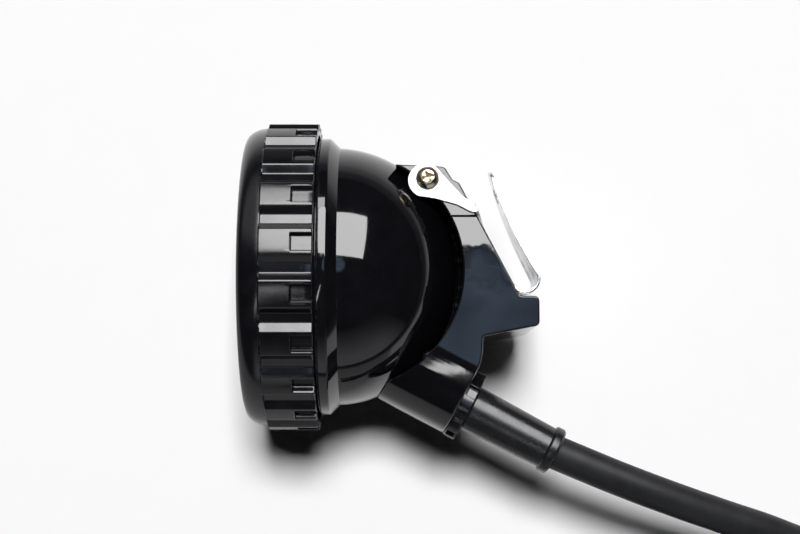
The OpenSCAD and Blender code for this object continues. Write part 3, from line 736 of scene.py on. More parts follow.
def band_radius(x, s):
    """Outer radius of the grip band at a distance x along the axis and s round from a land's middle."""
    floor = LIP_R - (LIP_R - RING_R + GROOVE) * soft_step(x, BAND[0], BAND[0] + 0.15, 0.1)
    land = 1 - soft_step(abs(s), LAND_TOP, LAND_FOOT, 0.2)
    land *= soft_step(x, BAND[0] - 0.1, BAND[0] + 0.1, 0.12)
    across = 1 - soft_step(abs(s), POCKET_FLOOR, POCKET_TOP, 0.16)
    along = soft_step(x, POCKET_X - 0.05, POCKET_X + 0.08, 0.12)
    return floor + (RING_R - floor) * land - POCKET_DEPTH * across * along


def graded(start, end, marks, gap, fine=(-0.22, -0.11, 0.0, 0.11, 0.22)):
    """Positions from start to end, close together round each mark and a gap apart elsewhere."""
    near = sorted({start, end} | {m + f for m in marks for f in fine if start < m + f < end})
    line = [near[0]]
    for position in near[1:]:
        parts = max(1, math.ceil((position - line[-1]) / gap - 0.01))
        first = line[-1]
        line += [first + (position - first) * k / parts for k in range(1, parts + 1)]
    return line


def bezel_sector():
    """One twentieth of the ring: lip, one land with its pocket, and half a groove on each side."""
    half = math.pi * RING_R / LANDS
    one_side = graded(0.0, half, [POCKET_FLOOR, POCKET_TOP, LAND_TOP, LAND_FOOT], 0.8)
    across = [-s for s in reversed(one_side[1:])] + one_side
    along = graded(BAND[0] - 0.25, BAND[1] - 0.35, [BAND[0], POCKET_X], 1.6)
    inside = [(RING_BACK, BORE_R + 0.6), (RING_BACK, BORE_R, 0.2), (-17.6, BORE_R), (-17.6, 29.8)]
    inside += [(-18.4, 29.8), (LIP_X, 31.0, 0.5), (LIP_X, LIP_R - LIP_ROUND - 0.4)]
    turns = [math.pi / 2 * k / 14 for k in range(15)]
    lip = [(LIP_X + LIP_LEN * (1 - math.cos(a)), LIP_R - LIP_ROUND * (1 - math.sin(a))) for a in turns]
    columns = []
    for s in across:
        outer = [(x, band_radius(x, s)) for x in along]
        last_x, last_r = outer[-1]
        turns = (0.4, 0.8, 1.2, 1.57)
        back = [(last_x + 0.35 * math.sin(t), last_r - 0.35 * (1 - math.cos(t))) for t in turns]
        profile = lip + outer + back + rounded(inside, closed=False)
        columns.append(swung(LAMP_AXIS, profile, LAND_PHASE + s / RING_R))
    return cleaned(grid_mesh("bezel_ring_finished", columns, wrap_columns=True), outward=False)


def bayonet_lugs(name, slot, body, radii, half_angle, stretch):
    """Four lugs round the optical axis, each a part of a ring with small chamfers."""
    ends = [(-half_angle, 0.12), (-half_angle + 0.01, 0.0)]
    ends += [(-half_angle + half_angle * k / 4, 0.0) for k in range(1, 8)]
    ends += [(half_angle - 0.01, 0.0), (half_angle, 0.12)]
    (r_in, r_out), (x_from, x_to) = radii, stretch
    columns = []
    for angle, trim in ends:
        box = [(x_from + trim, r_in + trim), (x_from + trim, r_out - trim)]
        box += [(x_to - trim, r_out - trim), (x_to - trim, r_in + trim)]
        columns.append(swung(LAMP_AXIS, box, LUG_PHASE + angle))
    mesh = grid_mesh(name, columns, wrap_columns=True)
    with opened(mesh) as bm:
        bmesh.ops.holes_fill(bm, edges=bm.edges, sides=4)
        bmesh.ops.recalc_face_normals(bm, faces=bm.faces)
    finish(repeated_round(name, mesh, 4, LAMP_AXIS, slot), slot, body)


class BezelOperator(Operator):
    """Bezel ring with its grip lands, spanner pockets and bayonet lugs."""

    bl_idname = "cap_lamp.bezel"
    bl_label = "Bezel ring"

    def execute(self, context):
        ring = repeated_round("bezel_ring_finished", bezel_sector(), LANDS, LAMP_AXIS, "bezel_plastic")
        finish(ring, "bezel_plastic", "bezel", ["bezel_ring"])
        bayonet_lugs("bezel_lugs", "bezel_plastic", "bezel", (34.25, 35.4), math.radians(14), (-6.9, -4.4))
        return {"FINISHED"}


# ---------------------------------------------------------------- bell

BELL_R = 32.0
BELL_LEN = 30.5
BELL_WALL = 2.4


def half_ellipse(r, length, steps=44):
    """Profile of a bell from its mouth to its pole."""
    turns = [math.pi / 2 * k / steps for k in range(steps + 1)]
    return [(length * math.sin(t), r * math.cos(t)) for t in turns]


class BellOperator(Operator):
    """Bell with its skirt, collar and bayonet lugs."""

    bl_idname = "cap_lamp.bell"
    bl_label = "Bell"

    def execute(self, context):
        skirt = [(-11.9, 31.4), (-13.4, 31.4, 0.2), (-13.4, 33.9, 0.3), (-3.2, 33.9, 0.2), (-3.2, 34.3, 0.15)]
        collar = [(-1.05, 34.3, 0.8), (1.35, 31.97, 1.6)]
        inside = half_ellipse(BELL_R - BELL_WALL, BELL_LEN - BELL_WALL, 24)[::-1]
        outside = half_ellipse(BELL_R, BELL_LEN)[2:]
        profile = rounded(skirt + collar, closed=False) + outside + inside + [(-11.9, 29.6)]
        bell = turned("bell_finished", profile, LAMP_AXIS, 160)
        finish(bell, "shell_plastic", stands_for=["bell_shell"])
        radii, stretch = (33.6, 34.9), (-9.7, -7.1)
        bayonet_lugs("bell_lugs", "shell_plastic", "headpiece", radii, math.radians(14.6), stretch)
        return {"FINISHED"}


# ---------------------------------------------------------------- casing


SADDLE_X = 2.9
SADDLE_R = 28.15
SADDLE_Z = 4.0
NOTCH = [(34.923, -22.766), (35.58, -19.9), (35.78, -15.88), (41, -14.866), (43, -19), (37.6, -24.2)]


def casing_cutters():
    """Solids cut off the casing: the boss's rim beyond the notch, and a deeper crescent on each side."""
    inner, outer = (arc((SADDLE_X, 0.0), radius, -46, 38, 42) for radius in (24, SADDLE_R))
    cutters = [slab("notch", NOTCH, -20, 20)]
    for low, high in ((SADDLE_Z, 20), (-20, -SADDLE_Z)):
        cutters.append(slab("crescent", outer + inner[::-1], low, high))
    return cutters


class CasingOperator(Operator):
    """Base casing with the cable boss, and the switch cover let into its under side."""

    bl_idname = "cap_lamp.casing"
    bl_label = "Base casing"

    def execute(self, context):
        casing = softened("casing_finished", "base_casing", 0.45, cutters=casing_cutters(), weld=6e-5)
        finish(casing, "shell_plastic", stands_for=["base_casing"])
        cover = softened("switch_cover_finished", "switch_cover", 0.18, 2)
        finish(cover, "shell_plastic", stands_for=["switch_cover"])
        return {"FINISHED"}


# ---------------------------------------------------------------- studio

DARK_ROOM = (0.02, 0.02, 0.022)
PALE_WALL = (0.55, 0.54, 0.56)
GREY_WALL = (0.48, 0.48, 0.5)
CEILING = (0.85, 1.15, 1.6)
CEILING_WAY = (0.08, 0.09, 0.99)
# Painted shade: the table's colour as glossy rays see it in front of and behind the lamp.
PAINTED_FLOOR_SHADE = (0.4, 0.4, 0.41)
FAR_FLOOR = (0.06, 0.06, 0.065)
TABLE_MIDDLE = (0.0, -0.25, 0.0)
STRIP_WAY = (-0.1818, -0.3838, 0.9057)
STRIP_ROLL = math.radians(-29.6)
FLOOR_REACH = 6.0

def soft_light(name, way, distance, size, radiance, gloss=True, diffuse=True, roll=0.0):
    """A lamp of a given face brightness, some way off, that gloss, diffuse shading or both see."""
    shape, share = ("ELLIPSE", math.pi / 4) if roll else ("RECTANGLE", 1)
    energy = radiance * math.pi * size[0] * size[1] * share
    data = bpy.data.lights.new(name, "AREA")
    light = new_object(name, fitted(data, shape=shape, size=size[0], size_y=size[1], energy=energy))
    way = Vector(way).normalized()
    up = way.cross(Vector((1, 0, 0))).normalized()
    facing = Matrix((up.cross(way), up, way)).transposed() @ Matrix.Rotation(roll, 3, "Z")
    light.matrix_world = Matrix.Translation(lamp(10) + way * distance) @ facing.to_4x4()
    fitted(light, visible_camera=False, visible_glossy=gloss, visible_diffuse=diffuse)


def studio_world():
    """A dark room with a pale wall towards -Y, a grey one behind -X and a bluish cloudy ceiling."""
    world = bpy.data.worlds.new("studio")
    bpy.context.scene.world = world
    world.use_nodes = True
    world.cycles_visibility.diffuse = False
    nodes = Nodes(world.node_tree)
    way = nodes.add("ShaderNodeTexCoord").outputs["Generated"]
    x, y, z = nodes.axes(way)
    front = nodes.product(nodes.ramp(z, 0.6, 0.15), nodes.ramp(y, -0.5, -0.8), nodes.ramp(x, -0.4, -0.25))
    left = nodes.product(nodes.ramp(x, -0.1, -0.2), nodes.ramp(y, 0.25, 0.45), nodes.ramp(z, 0.05, 0.35))
    room = nodes.mix(left, nodes.mix(front, DARK_ROOM, PALE_WALL), GREY_WALL)
    away = nodes.vector("DISTANCE", way, CEILING_WAY)["Value"]
    cloud = nodes.ramp(nodes.noise(way, 38.0, 4.0, Distortion=0.8), 0.3, 0.72, 0.25, 1.0)
    room = nodes.mix(nodes.product(nodes.ramp(away, 0.13, 0.09), cloud), room, CEILING)
    nodes.send(room, nodes.tree.nodes["Background"].inputs["Color"])


def floor_material(studio):
    """Matt white table, darker far away; gloss also sees painted shade on it a little way in front and
    behind.
    """
    nodes, shader = new_material("floor_paper", Roughness=0.85, Specular_IOR_Level=0.2)
    fibre = nodes.add("ShaderNodeTexNoise", {"Scale": 900.0, "Detail": 3.0}).outputs["Fac"]
    pale = tuple(studio.floor)
    paper = nodes.mix(fibre, pale, shaded_colour(pale, 0.985))
    place = nodes.place()
    x, y = nodes.axes(place)[:2]
    # Painted shade: only glossy rays see the table darker in front of and behind the lamp, standing in for
    # unlit floor in reflections.
    front = nodes.ramp(nodes.math("ADD", x, y), -0.075, -0.12)
    painted_shade = nodes.math("MAXIMUM", front, nodes.ramp(y, 0.09, 0.2))
    painted_shade = nodes.product(painted_shade, nodes.add("ShaderNodeLightPath").outputs["Is Glossy Ray"])
    away = nodes.vector("DISTANCE", place, TABLE_MIDDLE)["Value"]
    edge = nodes.ramp(away, studio.table_reach, studio.table_reach * 1.5)
    paper = nodes.mix(painted_shade, paper, PAINTED_FLOOR_SHADE)
    nodes.send(nodes.mix(edge, paper, FAR_FLOOR), shader["Base Color"])


class StudioOperator(Operator):
    """Floor, world and lights."""

    bl_idname = "cap_lamp.studio"
    bl_label = "Studio"

    def execute(self, context):
        studio = context.scene.cap_lamp_studio
        floor_material(studio)
        mesh = bpy.data.meshes.new("floor")
        corners = [(x * FLOOR_REACH, y * FLOOR_REACH, 0) for x, y in ((-1, -1), (1, -1), (1, 1), (-1, 1))]
        mesh.from_pydata(corners, [], [(0, 1, 2, 3)])
        mesh.materials.append(material_of("floor_paper"))
        new_object("floor", mesh)
        studio_world()
        soft_light("soft_box", (0.17, 0.53, 0.83), 1.2, (0.82, 0.86), 10.0 * studio.window, diffuse=False)
        soft_light("side_box", (-0.07, 0.83, 0.55), 1.2, (0.22, 0.2), 7.5 * studio.window, diffuse=False)
        soft_light("overhead", (0.02, 0.25, 0.97), 4, (0.91, 0.91), 66.0 * studio.overhead, gloss=False)
        soft_light("strip_lamp", STRIP_WAY, 3, (0.075, 1.4), 9.3, diffuse=False, roll=STRIP_ROLL)
        return {"FINISHED"}


class CameraOperator(Operator):
    """Camera above the lamp."""

    bl_idname = "cap_lamp.camera"
    bl_label = "Camera"

    def execute(self, context):
        view = context.scene.cap_lamp_view
        data = fitted(bpy.data.cameras.new("camera"), lens=view.focal_length, clip_start=0.01, clip_end=50)
        camera = new_object("camera", data)
        back = Vector((0, -math.sin(view.tilt), math.cos(view.tilt)))
        right = Vector((1, 0, 0))
        upright = Matrix((right, back.cross(right), back)).transposed().to_4x4()
        camera.matrix_world = Matrix.Translation(Vector(view.look_at) + back * view.distance) @ upright
        context.scene.camera = camera
        context.scene.view_settings.view_transform = "Standard"
        return {"FINISHED"}


class MaterialsOperator(Operator):
    """Materials of every slot, put on the CAD nodes too, and the trees that repeat shapes."""

    bl_idname = "cap_lamp.materials"
    bl_label = "Materials"

    def execute(self, context):
        make_materials(context.scene.cap_lamp_finish)
        for part in frame["record"]["subparts"]:
            for socket in NODES[part["node"]].material_slots:
                socket.material = material_of(part["material_slot"])
        ring_tree()
        places_tree()
        return {"FINISHED"}


# ---------------------------------------------------------------- lead and plug

TABLE_Z = -RING_R
LEAD_POINTS = [
    (62.3, -46.8, 38), (70.7, -50.2, 37.6), (82.2, -54.5, 36.2), (95.5, -59.1, 33.5), (109.9, -63.9, 29.8),
    (122.8, -69.4, 25), (134.4, -77.2, 19.1), (143.6, -87.6, 13), (150.4, -100.3, 7.8),
]
TAIL_POINTS = [(85, -181.6, 12.5), (73, -180.4, 10.6), (62, -178.4, 8.8)]
TAIL_END = (53, -176.2, 7.5)
COIL_AT = Vector((101, -128.5))
COIL_PHASE = math.radians(5)
STRAP_W = 13.0
STRAP_T = 0.9
STRAP_GAP = 0.1
STRAP_LOWEST = (0.5, 0.03)


def on_table(point):
    """A lamp-frame point whose third number is its height above the table."""
    return lamp(point[0], point[1], TABLE_Z + point[2])


def smooth(u):
    u = min(max(u, 0.0), 1.0)
    return u * u * (3 - 2 * u)


def coil_point(lead, t):
    """Middle of the lead after t turns: in on the lower layer, out again on the upper one."""
    half = lead.coil_turns / 2
    angle = COIL_PHASE - 2 * math.pi * t
    radius = (lead.coil_radius - lead.coil_pitch * (half - abs(t - half))) / MM
    height = (lead.diameter / 2 + lead.coil_lift * smooth((t - half) * 2 + 0.5)) / MM
    return Vector((COIL_AT.x + radius * math.cos(angle), COIL_AT.y + radius * math.sin(angle), height))


def lead_route(lead):
    """Points of the whole lead, from the sleeve to the plug."""
    last = lead.coil_turns
    stub = lead.diameter / MM
    coil = [coil_point(lead, i / lead.turn_points) for i in range(round(last * lead.turn_points) + 1)]
    first_way = (coil_point(lead, 0.002) - coil_point(lead, 0)).normalized()
    last_way = (coil_point(lead, last) - coil_point(lead, last - 0.002)).normalized()
    exit_at = Vector((*BOSS_AT, 0)) + CABLE_DIR * SLEEVE_LEN
    route = [(exit_at.x, exit_at.y, RING_R), *LEAD_POINTS, coil[0] - stub * first_way, *coil]
    route += [coil[-1] + stub * last_way, *TAIL_POINTS, TAIL_END]
    return [on_table(point) for point in route]


def keep_above(spline, lowest):
    """Frees a curve's handles and lifts those that would take its middle below a height."""
    for knot in spline.bezier_points:
        knot.handle_left_type = knot.handle_right_type = "FREE"
        for handle in (knot.handle_left, knot.handle_right):
            handle.z = max(handle.z, lowest)


def plug_frame():
    """Frame on the plug's axis, at the end of the lead."""
    way = (Vector(TAIL_END) - Vector(TAIL_POINTS[-1])) * Vector((1, 1, 0))
    return axis_frame(on_table(TAIL_END), way)


def strap_outline(spots, radius, lowest):
    """Taut outline round circles of a radius, flat where it would go below a height."""
    turns = [2 * math.pi * k / 36 for k in range(36)]
    dots = [spot + radius * Vector((math.cos(a), math.sin(a))) for spot in spots for a in turns]
    dots = [Vector((dot.x, max(dot.y, lowest))) for dot in dots]
    return resampled([dots[i] for i in convex_hull_2d(dots)], 72)


def coil_strap(lead, turn):
    """Rubber strap round every winding of the coil, where the angle of a turn passes."""
    middle = COIL_AT.to_3d()
    windings = [coil_point(lead, turn + k) for k in range(math.ceil(lead.coil_turns - turn))]
    out = ((windings[0] - middle) * Vector((1, 1, 0))).normalized()
    along = Vector((-out.y, out.x, 0))
    spots = [Vector(((spot - middle).dot(out), spot.z)) for spot in windings]
    inner_r = lead.diameter / MM / 2 + STRAP_GAP
    inner = strap_outline(spots, inner_r, STRAP_LOWEST[0])
    outer = strap_outline(spots, inner_r + STRAP_T, STRAP_LOWEST[1])
    rows = []
    for side, skin in ((-1, inner), (-1, outer), (1, outer), (1, inner)):
        aside = along * side * STRAP_W / 2
        rows.append([on_table(middle + out * dot.x + Vector((0, 0, dot.y)) + aside) for dot in skin])
    mesh = cleaned(grid_mesh("coil_strap", rows, wrap_rows=True, wrap_columns=True))
    strap = bevelled(new_object("coil_strap", mesh), 0.3, 2, math.radians(30), clamp=True)
    shaded(strap.data, math.radians(40))
    return strap


def resampled(outline, count):
    """Evenly spaced points on a closed outline, from its rightmost point on."""
    first = max(range(len(outline)), key=lambda i: outline[i].x)
    line = outline[first:] + outline[: first + 1]
    if sum(a.cross(b) for a, b in zip(line, line[1:])) < 0:
        line.reverse()
    lengths = [0.0]
    for a, b in zip(line, line[1:]):
        lengths.append(lengths[-1] + (b - a).length)
    spots = []
    k = 0
    for i in range(count):
        at = lengths[-1] * i / count
        while lengths[k + 1] < at:
            k += 1
        share = (at - lengths[k]) / max(lengths[k + 1] - lengths[k], 1e-9)
        spots.append(line[k].lerp(line[k + 1], share))
    return spots


def boot_profile():
    """Outline of the plug's boot, from the lead's end on, with six ribs."""
    corners = [(0, 0), (0, 5.3, 0.5), (2.6, 5.75, 0.3)]
    for i in range(6):
        x = 2.9 + 2.7 * i
        corners += [(x, 4.9, 0.25), (x + 0.9, 4.9, 0.25), (x + 1.1, 5.6, 0.3), (x + 2.5, 5.65, 0.3)]
    return rounded(corners + [(19.2, 5.95, 0.3), (20, 5.95), (20, 0)], closed=False)


class LeadOperator(Operator):
    """Lead, its coil's strap, and the plug with its boot."""

    bl_idname = "cap_lamp.lead"
    bl_label = "Lead and plug"

    def execute(self, context):
        lead = context.scene.cap_lamp_lead
        data = fitted(
            bpy.data.curves.new("lead_cable", "CURVE"), dimensions="3D", bevel_depth=lead.diameter / 2,
            bevel_resolution=6, resolution_u=8, use_fill_caps=True,
        )
        spline = data.splines.new("BEZIER")
        route = lead_route(lead)
        spline.bezier_points.add(len(route) - 1)
        for knot, point in zip(spline.bezier_points, route):
            knot.co = point
            knot.handle_left_type = knot.handle_right_type = "AUTO"
        keep_above(spline, lead.diameter / 2)
        cable = new_object("lead_cable", data)
        finish(cable, "cable_rubber", stands_for=["cord_lead", "cord_coil", "cord_tail"])
        boot = turned("plug_boot_finished", boot_profile(), plug_frame(), 64, False)
        finish(boot, "sleeve_rubber", stands_for=["plug_boot"])
        body = softened("plug_body_finished", "plug_body", 0.25)
        finish(body, "plug_plastic", stands_for=["plug_body"])
        strap = coil_strap(lead, 0.5)
        finish(strap, "sleeve_rubber")
        return {"FINISHED"}


# ---------------------------------------------------------------- hook and screws

SLANT_TOP = (30.2, 21)
SLANT_ANGLE = math.atan2(27, 14.3)
HOOK_SCREW_AT = (22.6, 22)
HOOK_SCREW = {"head_r": 2.75, "head_h": 1.7, "shank_r": 1.5, "shank_len": 5.2}
COVER_SCREWS_AT = ((45.3, -9.6), (31.3, -17.6), (33.9, 7))
COVER_SCREW = {"head_r": 2.0, "head_h": 0.9, "shank_r": 0.85, "shank_len": 8.0}
EAR_AT = (22, 21.4)
EAR_R = 4.1
FOLD = (5.9, 8.6)
SHOULDER = 11.5
BACK_HALF = 11.0
BEND_AT = (27.3, 3.88)
BEND_R = 3.4
TONGUE = [(27.3, 7.28), (21.5, 7.3), (15.7, 7.55), (10, 8.1), (4.5, 8.85), (-0.8, 9.8)]
TIP = (2.4, 3.2)
NECK = (2.8, 3.35)
TONGUE_ROOT = (28.3, 10.0)
TONGUE_HOLE = (5.5, 2.0)
EAR_TAIL = [
    (20.3, 17.7), (24.6, 17, 2), (29.6, 15.6, 3), (33.3, 13.7, 1), (34.79, 13.92, 0.2), (33.71, 15.95, 0.3),
    (31.2, 17.3, 2), (28.5, 20.2, 3), (25.2, 24),
]


def on_slant(x, y, z):
    """Point in the slanted back's frame: x down the slant, y towards the table, z away from the casing."""
    c, s = math.cos(SLANT_ANGLE), math.sin(SLANT_ANGLE)
    return lamp(SLANT_TOP[0] + x * c + z * s, SLANT_TOP[1] - x * s + z * c, -y)


def curve_at(points, x):
    """Height of a smooth line through points, at x."""
    points = sorted(points)
    for i in range(len(points) - 1):
        (x0, y0), (x1, y1) = points[i], points[i + 1]
        if x <= x1 or i == len(points) - 2:
            before = points[max(i - 1, 0)]
            after = points[min(i + 2, len(points) - 1)]
            t = (x - x0) / (x1 - x0)
            slope0 = (y1 - before[1]) / (x1 - before[0]) * (x1 - x0)
            slope1 = (after[1] - y0) / (after[0] - x0) * (x1 - x0)
            return (
                y0 * (2 * t**3 - 3 * t**2 + 1) + slope0 * (t**3 - 2 * t**2 + t)
                + y1 * (3 * t**2 - 2 * t**3) + slope1 * (t**3 - t**2)
            )
    return points[-1][1]


def back_half_width(x):
    """Half width of the hook's back plate, which narrows below the ears' folds and tapers to the bend."""
    wide = EAR_Z + SHEET
    taper = max(x - SHOULDER, 0) / (BEND_AT[0] - SHOULDER)
    return wide + (BACK_HALF - wide) * soft_step(x, FOLD[1], SHOULDER, 0.6) - taper


def line_at(low, high, x):
    """Height at x of the straight line through two points."""
    return low[1] + (x - low[0]) * (high[1] - low[1]) / (high[0] - low[0])


def tongue_half_width(x):
    """Half width of the tongue: a straight taper, a short neck and a round tip."""
    tip_x, tip_r = TIP
    if x < tip_x:
        return math.sqrt(max(tip_r**2 - (tip_x - x) ** 2, 0.05))
    return line_at(NECK, TONGUE_ROOT, x) if x > NECK[0] else line_at(TIP, NECK, x)


def hook_strip():
    """Middle surface of the back plate, the bend and the tongue."""
    tip_x, tip_r = TIP
    stops = graded(FOLD[0], 26.8, [FOLD[1], SHOULDER], 1.2, (-0.6, -0.3, 0.0, 0.3, 0.6))
    line = [(x, SHEET / 2, back_half_width(x)) for x in stops]
    line += [(x, z, TONGUE_ROOT[1]) for x, z in arc(BEND_AT, BEND_R, -90, 90, 18)]
    stops = [26.6 - 1.1 * k for k in range(22)]
    stops += [tip_x - tip_r * math.sin(math.pi / 2 * k / 9) for k in range(10)]
    line += [(x, curve_at(TONGUE, x), tongue_half_width(x)) for x in stops]
    rows = [[on_slant(x, w * (k / 8 - 1), z) for k in range(17)] for x, z, w in line]
    return grid_mesh("hook_finished", rows)


def rod(place, radius, x_from, x_to):
    """Plain round bar along a frame's Z."""
    return turned("rod", [(x_from, 0), (x_from, radius), (x_to, radius), (x_to, 0)], place, 48, False)


def ear_outline():
    """Outline of one ear: round the screw, then a tail down to the fold."""
    return arc(EAR_AT, EAR_R, 39, 245.3, 28) + rounded(EAR_TAIL, closed=False)[1:-1]


class HookOperator(Operator):
    """Sheet hook with its two ears, back plate, bend and tongue."""

    bl_idname = "cap_lamp.hook"
    bl_label = "Cap hook"

    def execute(self, context):
        hook = new_object("hook_finished", hook_strip())
        fitted(hook.modifiers.new("sheet", "SOLIDIFY"), thickness=SHEET * MM, offset=0)
        hook = baked(hook)
        cleaned(hook.data)
        outward = (math.sin(SLANT_ANGLE), math.cos(SLANT_ANGLE), 0)
        hole_axis = axis_frame(on_slant(TONGUE_HOLE[0], 0, 0), outward)
        hook = combined(hook, "DIFFERENCE", [rod(hole_axis, TONGUE_HOLE[1], 6, 12)])
        ears = [slab("ear", ear_outline(), side * EAR_Z, side * (EAR_Z + SHEET)) for side in (1, -1)]
        hook = combined(hook, "UNION", ears)
        hook = flat_faced(bevelled(hook, 0.14, 2, math.radians(40)), math.radians(42))
        finish(hook, "hook_steel", stands_for=["cap_hook"])
        return {"FINISHED"}


def cross_screw(head_r, head_h, shank_r, shank_len):
    """Pan head screw with a cross recess, its head above the origin."""
    head = [(0, shank_r), (0, head_r, 0.12), (head_h * 0.4, head_r, head_h * 0.4)]
    head += [(head_h, head_r * 0.62, head_h * 0.5), (head_h, 0)]
    profile = rounded([(-shank_len, 0), (-shank_len, shank_r, 0.2), *head], closed=False)
    screw = turned("screw", profile, Matrix.Identity(4), 64, False)
    arm, half = head_r * 0.56, head_r * 0.11
    corners = [(-arm, -half), (arm, -half), (arm, half), (-arm, half)]
    arms = []
    for turn in (0, math.pi / 2):
        spin = Matrix.Rotation(turn + 0.35, 4, "Z") @ Matrix.Scale(MM, 4)
        low = [spin @ Vector((x * 0.45, y * 0.8, head_h * 0.35)) for x, y in corners]
        high = [spin @ Vector((x * 1.1, y * 1.15, head_h + 0.3)) for x, y in corners]
        arms.append(prism("arm", low, high))
    screw = combined(screw, "DIFFERENCE", arms)
    return flat_faced(bevelled(screw, 0.07, 2, math.radians(35)), math.radians(35))


class ScrewsOperator(Operator):
    """Hook screws and the switch cover's screws."""

    bl_idname = "cap_lamp.screws"
    bl_label = "Screws"

    def execute(self, context):
        top = EAR_Z + SHEET
        places = [(lamp(*HOOK_SCREW_AT, side * top), Vector((0, 0, side))) for side in (1, -1)]
        pair = repeated_at("hook_screws_finished", cross_screw(**HOOK_SCREW), places, "plated_screw")
        finish(pair, "plated_screw", stands_for=["hook_screws"])
        places = [(lamp(x, y, 1 - HALF_W), Vector((0, 0, -1))) for x, y in COVER_SCREWS_AT]
        three = repeated_at("cover_screws_finished", cross_screw(**COVER_SCREW), places, "zinc_steel")
        finish(three, "zinc_steel", stands_for=["cover_screws"])
        return {"FINISHED"}


# ---------------------------------------------------------------- gland


class GlandOperator(Operator):
    """Gland nut and the moulded sleeve with its end ring."""

    bl_idname = "cap_lamp.gland"
    bl_label = "Gland and sleeve"

    def execute(self, context):
        nut = softened("gland_nut_finished", "gland_nut", 0.22)
        finish(nut, "nut_plastic", stands_for=["gland_nut"])
        end = SLEEVE_LEN
        foot = [(-4.1, 4.25), (-4.1, 5.9, 0.2), (-1.6, 5.9, 0.2), (-1.6, 4.95), (3.2, 4.95), (3.2, 5.75, 0.4)]
        ring = [(end - 2.6, 5.28, 0.35), (end - 2.5, 5.75, 0.3), (end - 2.1, 5.95, 0.25)]
        ring += [(end - 0.5, 5.95, 0.35), (end, 5.5, 0.3), (end, 4.25)]
        sleeve = turned("sleeve_finished", rounded(foot + ring), CABLE_AXIS, 96)
        finish(sleeve, "sleeve_rubber", stands_for=["strain_relief"])
        return {"FINISHED"}


# ---------------------------------------------------------------- light engine

LENS_X = (-17.4, -14.9)
LENS_R = 34.6
LENS_FACE_R = 29.5
LENS_DOME = 1.2
SIDE_HOLE_R = 2.75
DISH = (6.5, 28.6)
DISH_VERTEX = 9.0
DISH_X0 = -13.1
SIDE_LED_AT = 17.0


def dish_x(r):
    """Depth of the reflector's parabola at a radius."""
    return DISH_VERTEX - (DISH_VERTEX - DISH_X0) * (r / DISH[1]) ** 2


class EngineOperator(Operator):
    """Lens and mirrored reflector."""

    bl_idname = "cap_lamp.engine"
    bl_label = "Lens and reflector"

    def execute(self, context):
        face = [(LENS_X[0] - LENS_DOME * (1 - (k / 24) ** 2), LENS_FACE_R * k / 24) for k in range(25)]
        edge = [face[-1], (LENS_X[0], LENS_R, 0.3), (LENS_X[1], LENS_R, 0.2), (LENS_X[1], 0)]
        profile = face + rounded(edge, closed=False)[1:]
        lens = turned("lens_finished", profile, LAMP_AXIS, 128, False)
        finish(lens, "clear_lens", stands_for=["lens"])

        radii = [DISH[0] + (DISH[1] - DISH[0]) * k / 40 for k in range(41)]
        front = [(dish_x(r), r) for r in radii]
        flange = [(DISH_X0, 31.2), (-11.9, 31.2), (-11.9, 29.5)]
        back = [(dish_x(r) + 0.6, min(r + 1.2, 29.4)) for r in reversed(radii)]
        reflector = turned("reflector_finished", front + flange + back, LAMP_AXIS)
        axes = [axis_frame(lamp(0, side * SIDE_LED_AT), (1, 0, 0)) for side in (1, -1)]
        reflector = combined(reflector, "DIFFERENCE", [rod(axis, SIDE_HOLE_R, -8, 12) for axis in axes])
        shaded(reflector.data)
        finish(reflector, "mirror_coat", stands_for=["reflector"])
        return {"FINISHED"}


# ---------------------------------------------------------------- switch knob

KNOB_R = 8.0
FLUTES = 12
FLUTE = (8.7, 1.5)
KNOB_Z = (-38.0, -21.0)


def flute_radius(angle):
    """Outer radius of the knob at an angle from the middle of a flute."""
    centre, radius = FLUTE
    across = centre * math.sin(angle)
    if abs(across) >= radius:
        return KNOB_R
    cut = centre * math.cos(angle) - math.sqrt(radius**2 - across**2)
    return KNOB_R - soft_ramp(KNOB_R - cut, 0.12)


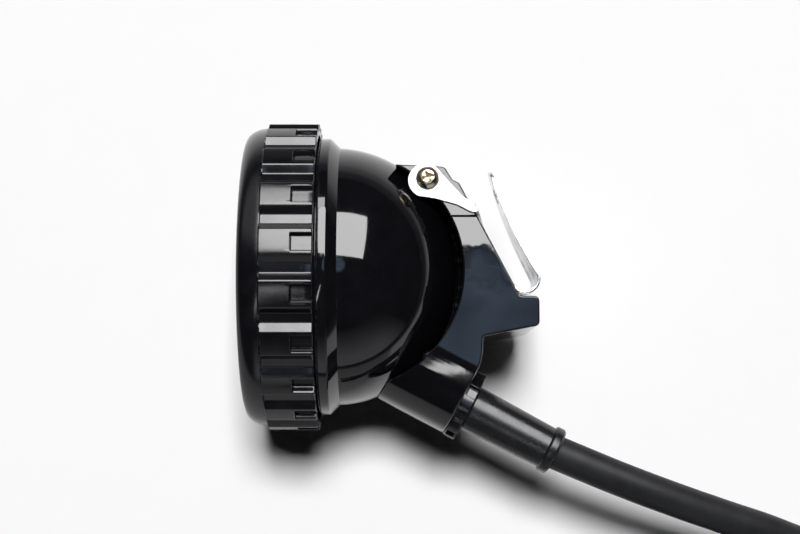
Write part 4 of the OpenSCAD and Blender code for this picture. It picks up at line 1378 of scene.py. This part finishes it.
def knob_sector():
    """One twelfth of the knob: half a rib, a flute and half a rib."""
    low, high = KNOB_Z
    columns = []
    for k in range(25):
        angle = math.pi / FLUTES * (k / 12 - 1)
        fluted = flute_radius(angle)
        grip = [(low, 0), (low, fluted, 0.8), (high - 2.2, fluted, 0.5), (high - 1.5, KNOB_R, 0.3)]
        profile = rounded([*grip, (high, KNOB_R, 0.4), (high, 0)], closed=False)
        columns.append(swung(KNOB_AXIS, profile, angle))
    return cleaned(grid_mesh("knob_sector", columns), outward=False)


class SwitchOperator(Operator):
    """Rotary switch knob with finger flutes."""

    bl_idname = "cap_lamp.switch"
    bl_label = "Switch knob"

    def execute(self, context):
        knob = repeated_round("switch_knob_finished", knob_sector(), FLUTES, KNOB_AXIS, "knob_plastic")
        finish(knob, "knob_plastic", "switch", ["switch_knob"])
        return {"FINISHED"}


# ---------------------------------------------------------------- panel and run

OPERATORS = [
    MaterialsOperator, CameraOperator, LeadOperator, BezelOperator, BellOperator, CasingOperator,
    HookOperator, ScrewsOperator, GlandOperator, EngineOperator, SwitchOperator, StudioOperator,
]


class LampPanel(Panel):
    """Lists the settings and the pieces."""

    bl_idname = "VIEW3D_PT_cap_lamp"
    bl_label = "Cap Lamp"
    bl_space_type = "VIEW_3D"
    bl_region_type = "UI"
    bl_category = "Cap Lamp"

    def draw(self, context):
        for name, group in SETTINGS.items():
            box = self.layout.box()
            for label in group.__annotations__:
                box.prop(getattr(context.scene, name), label)
        for operator in OPERATORS:
            self.layout.operator(operator.bl_idname)


def register():
    for name, group in SETTINGS.items():
        bpy.utils.register_class(group)
        setattr(bpy.types.Scene, name, PointerProperty(type=group))
    for item in (*OPERATORS, LampPanel):
        bpy.utils.register_class(item)


def unregister():
    for item in (*OPERATORS, LampPanel):
        bpy.utils.unregister_class(item)
    for name, group in SETTINGS.items():
        delattr(bpy.types.Scene, name)
        bpy.utils.unregister_class(group)


def main():
    """Builds everything in order."""
    register()
    for operator in OPERATORS:
        family, name = operator.bl_idname.split(".")
        getattr(getattr(bpy.ops, family), name)()


if __name__ == "__main__":
    main()
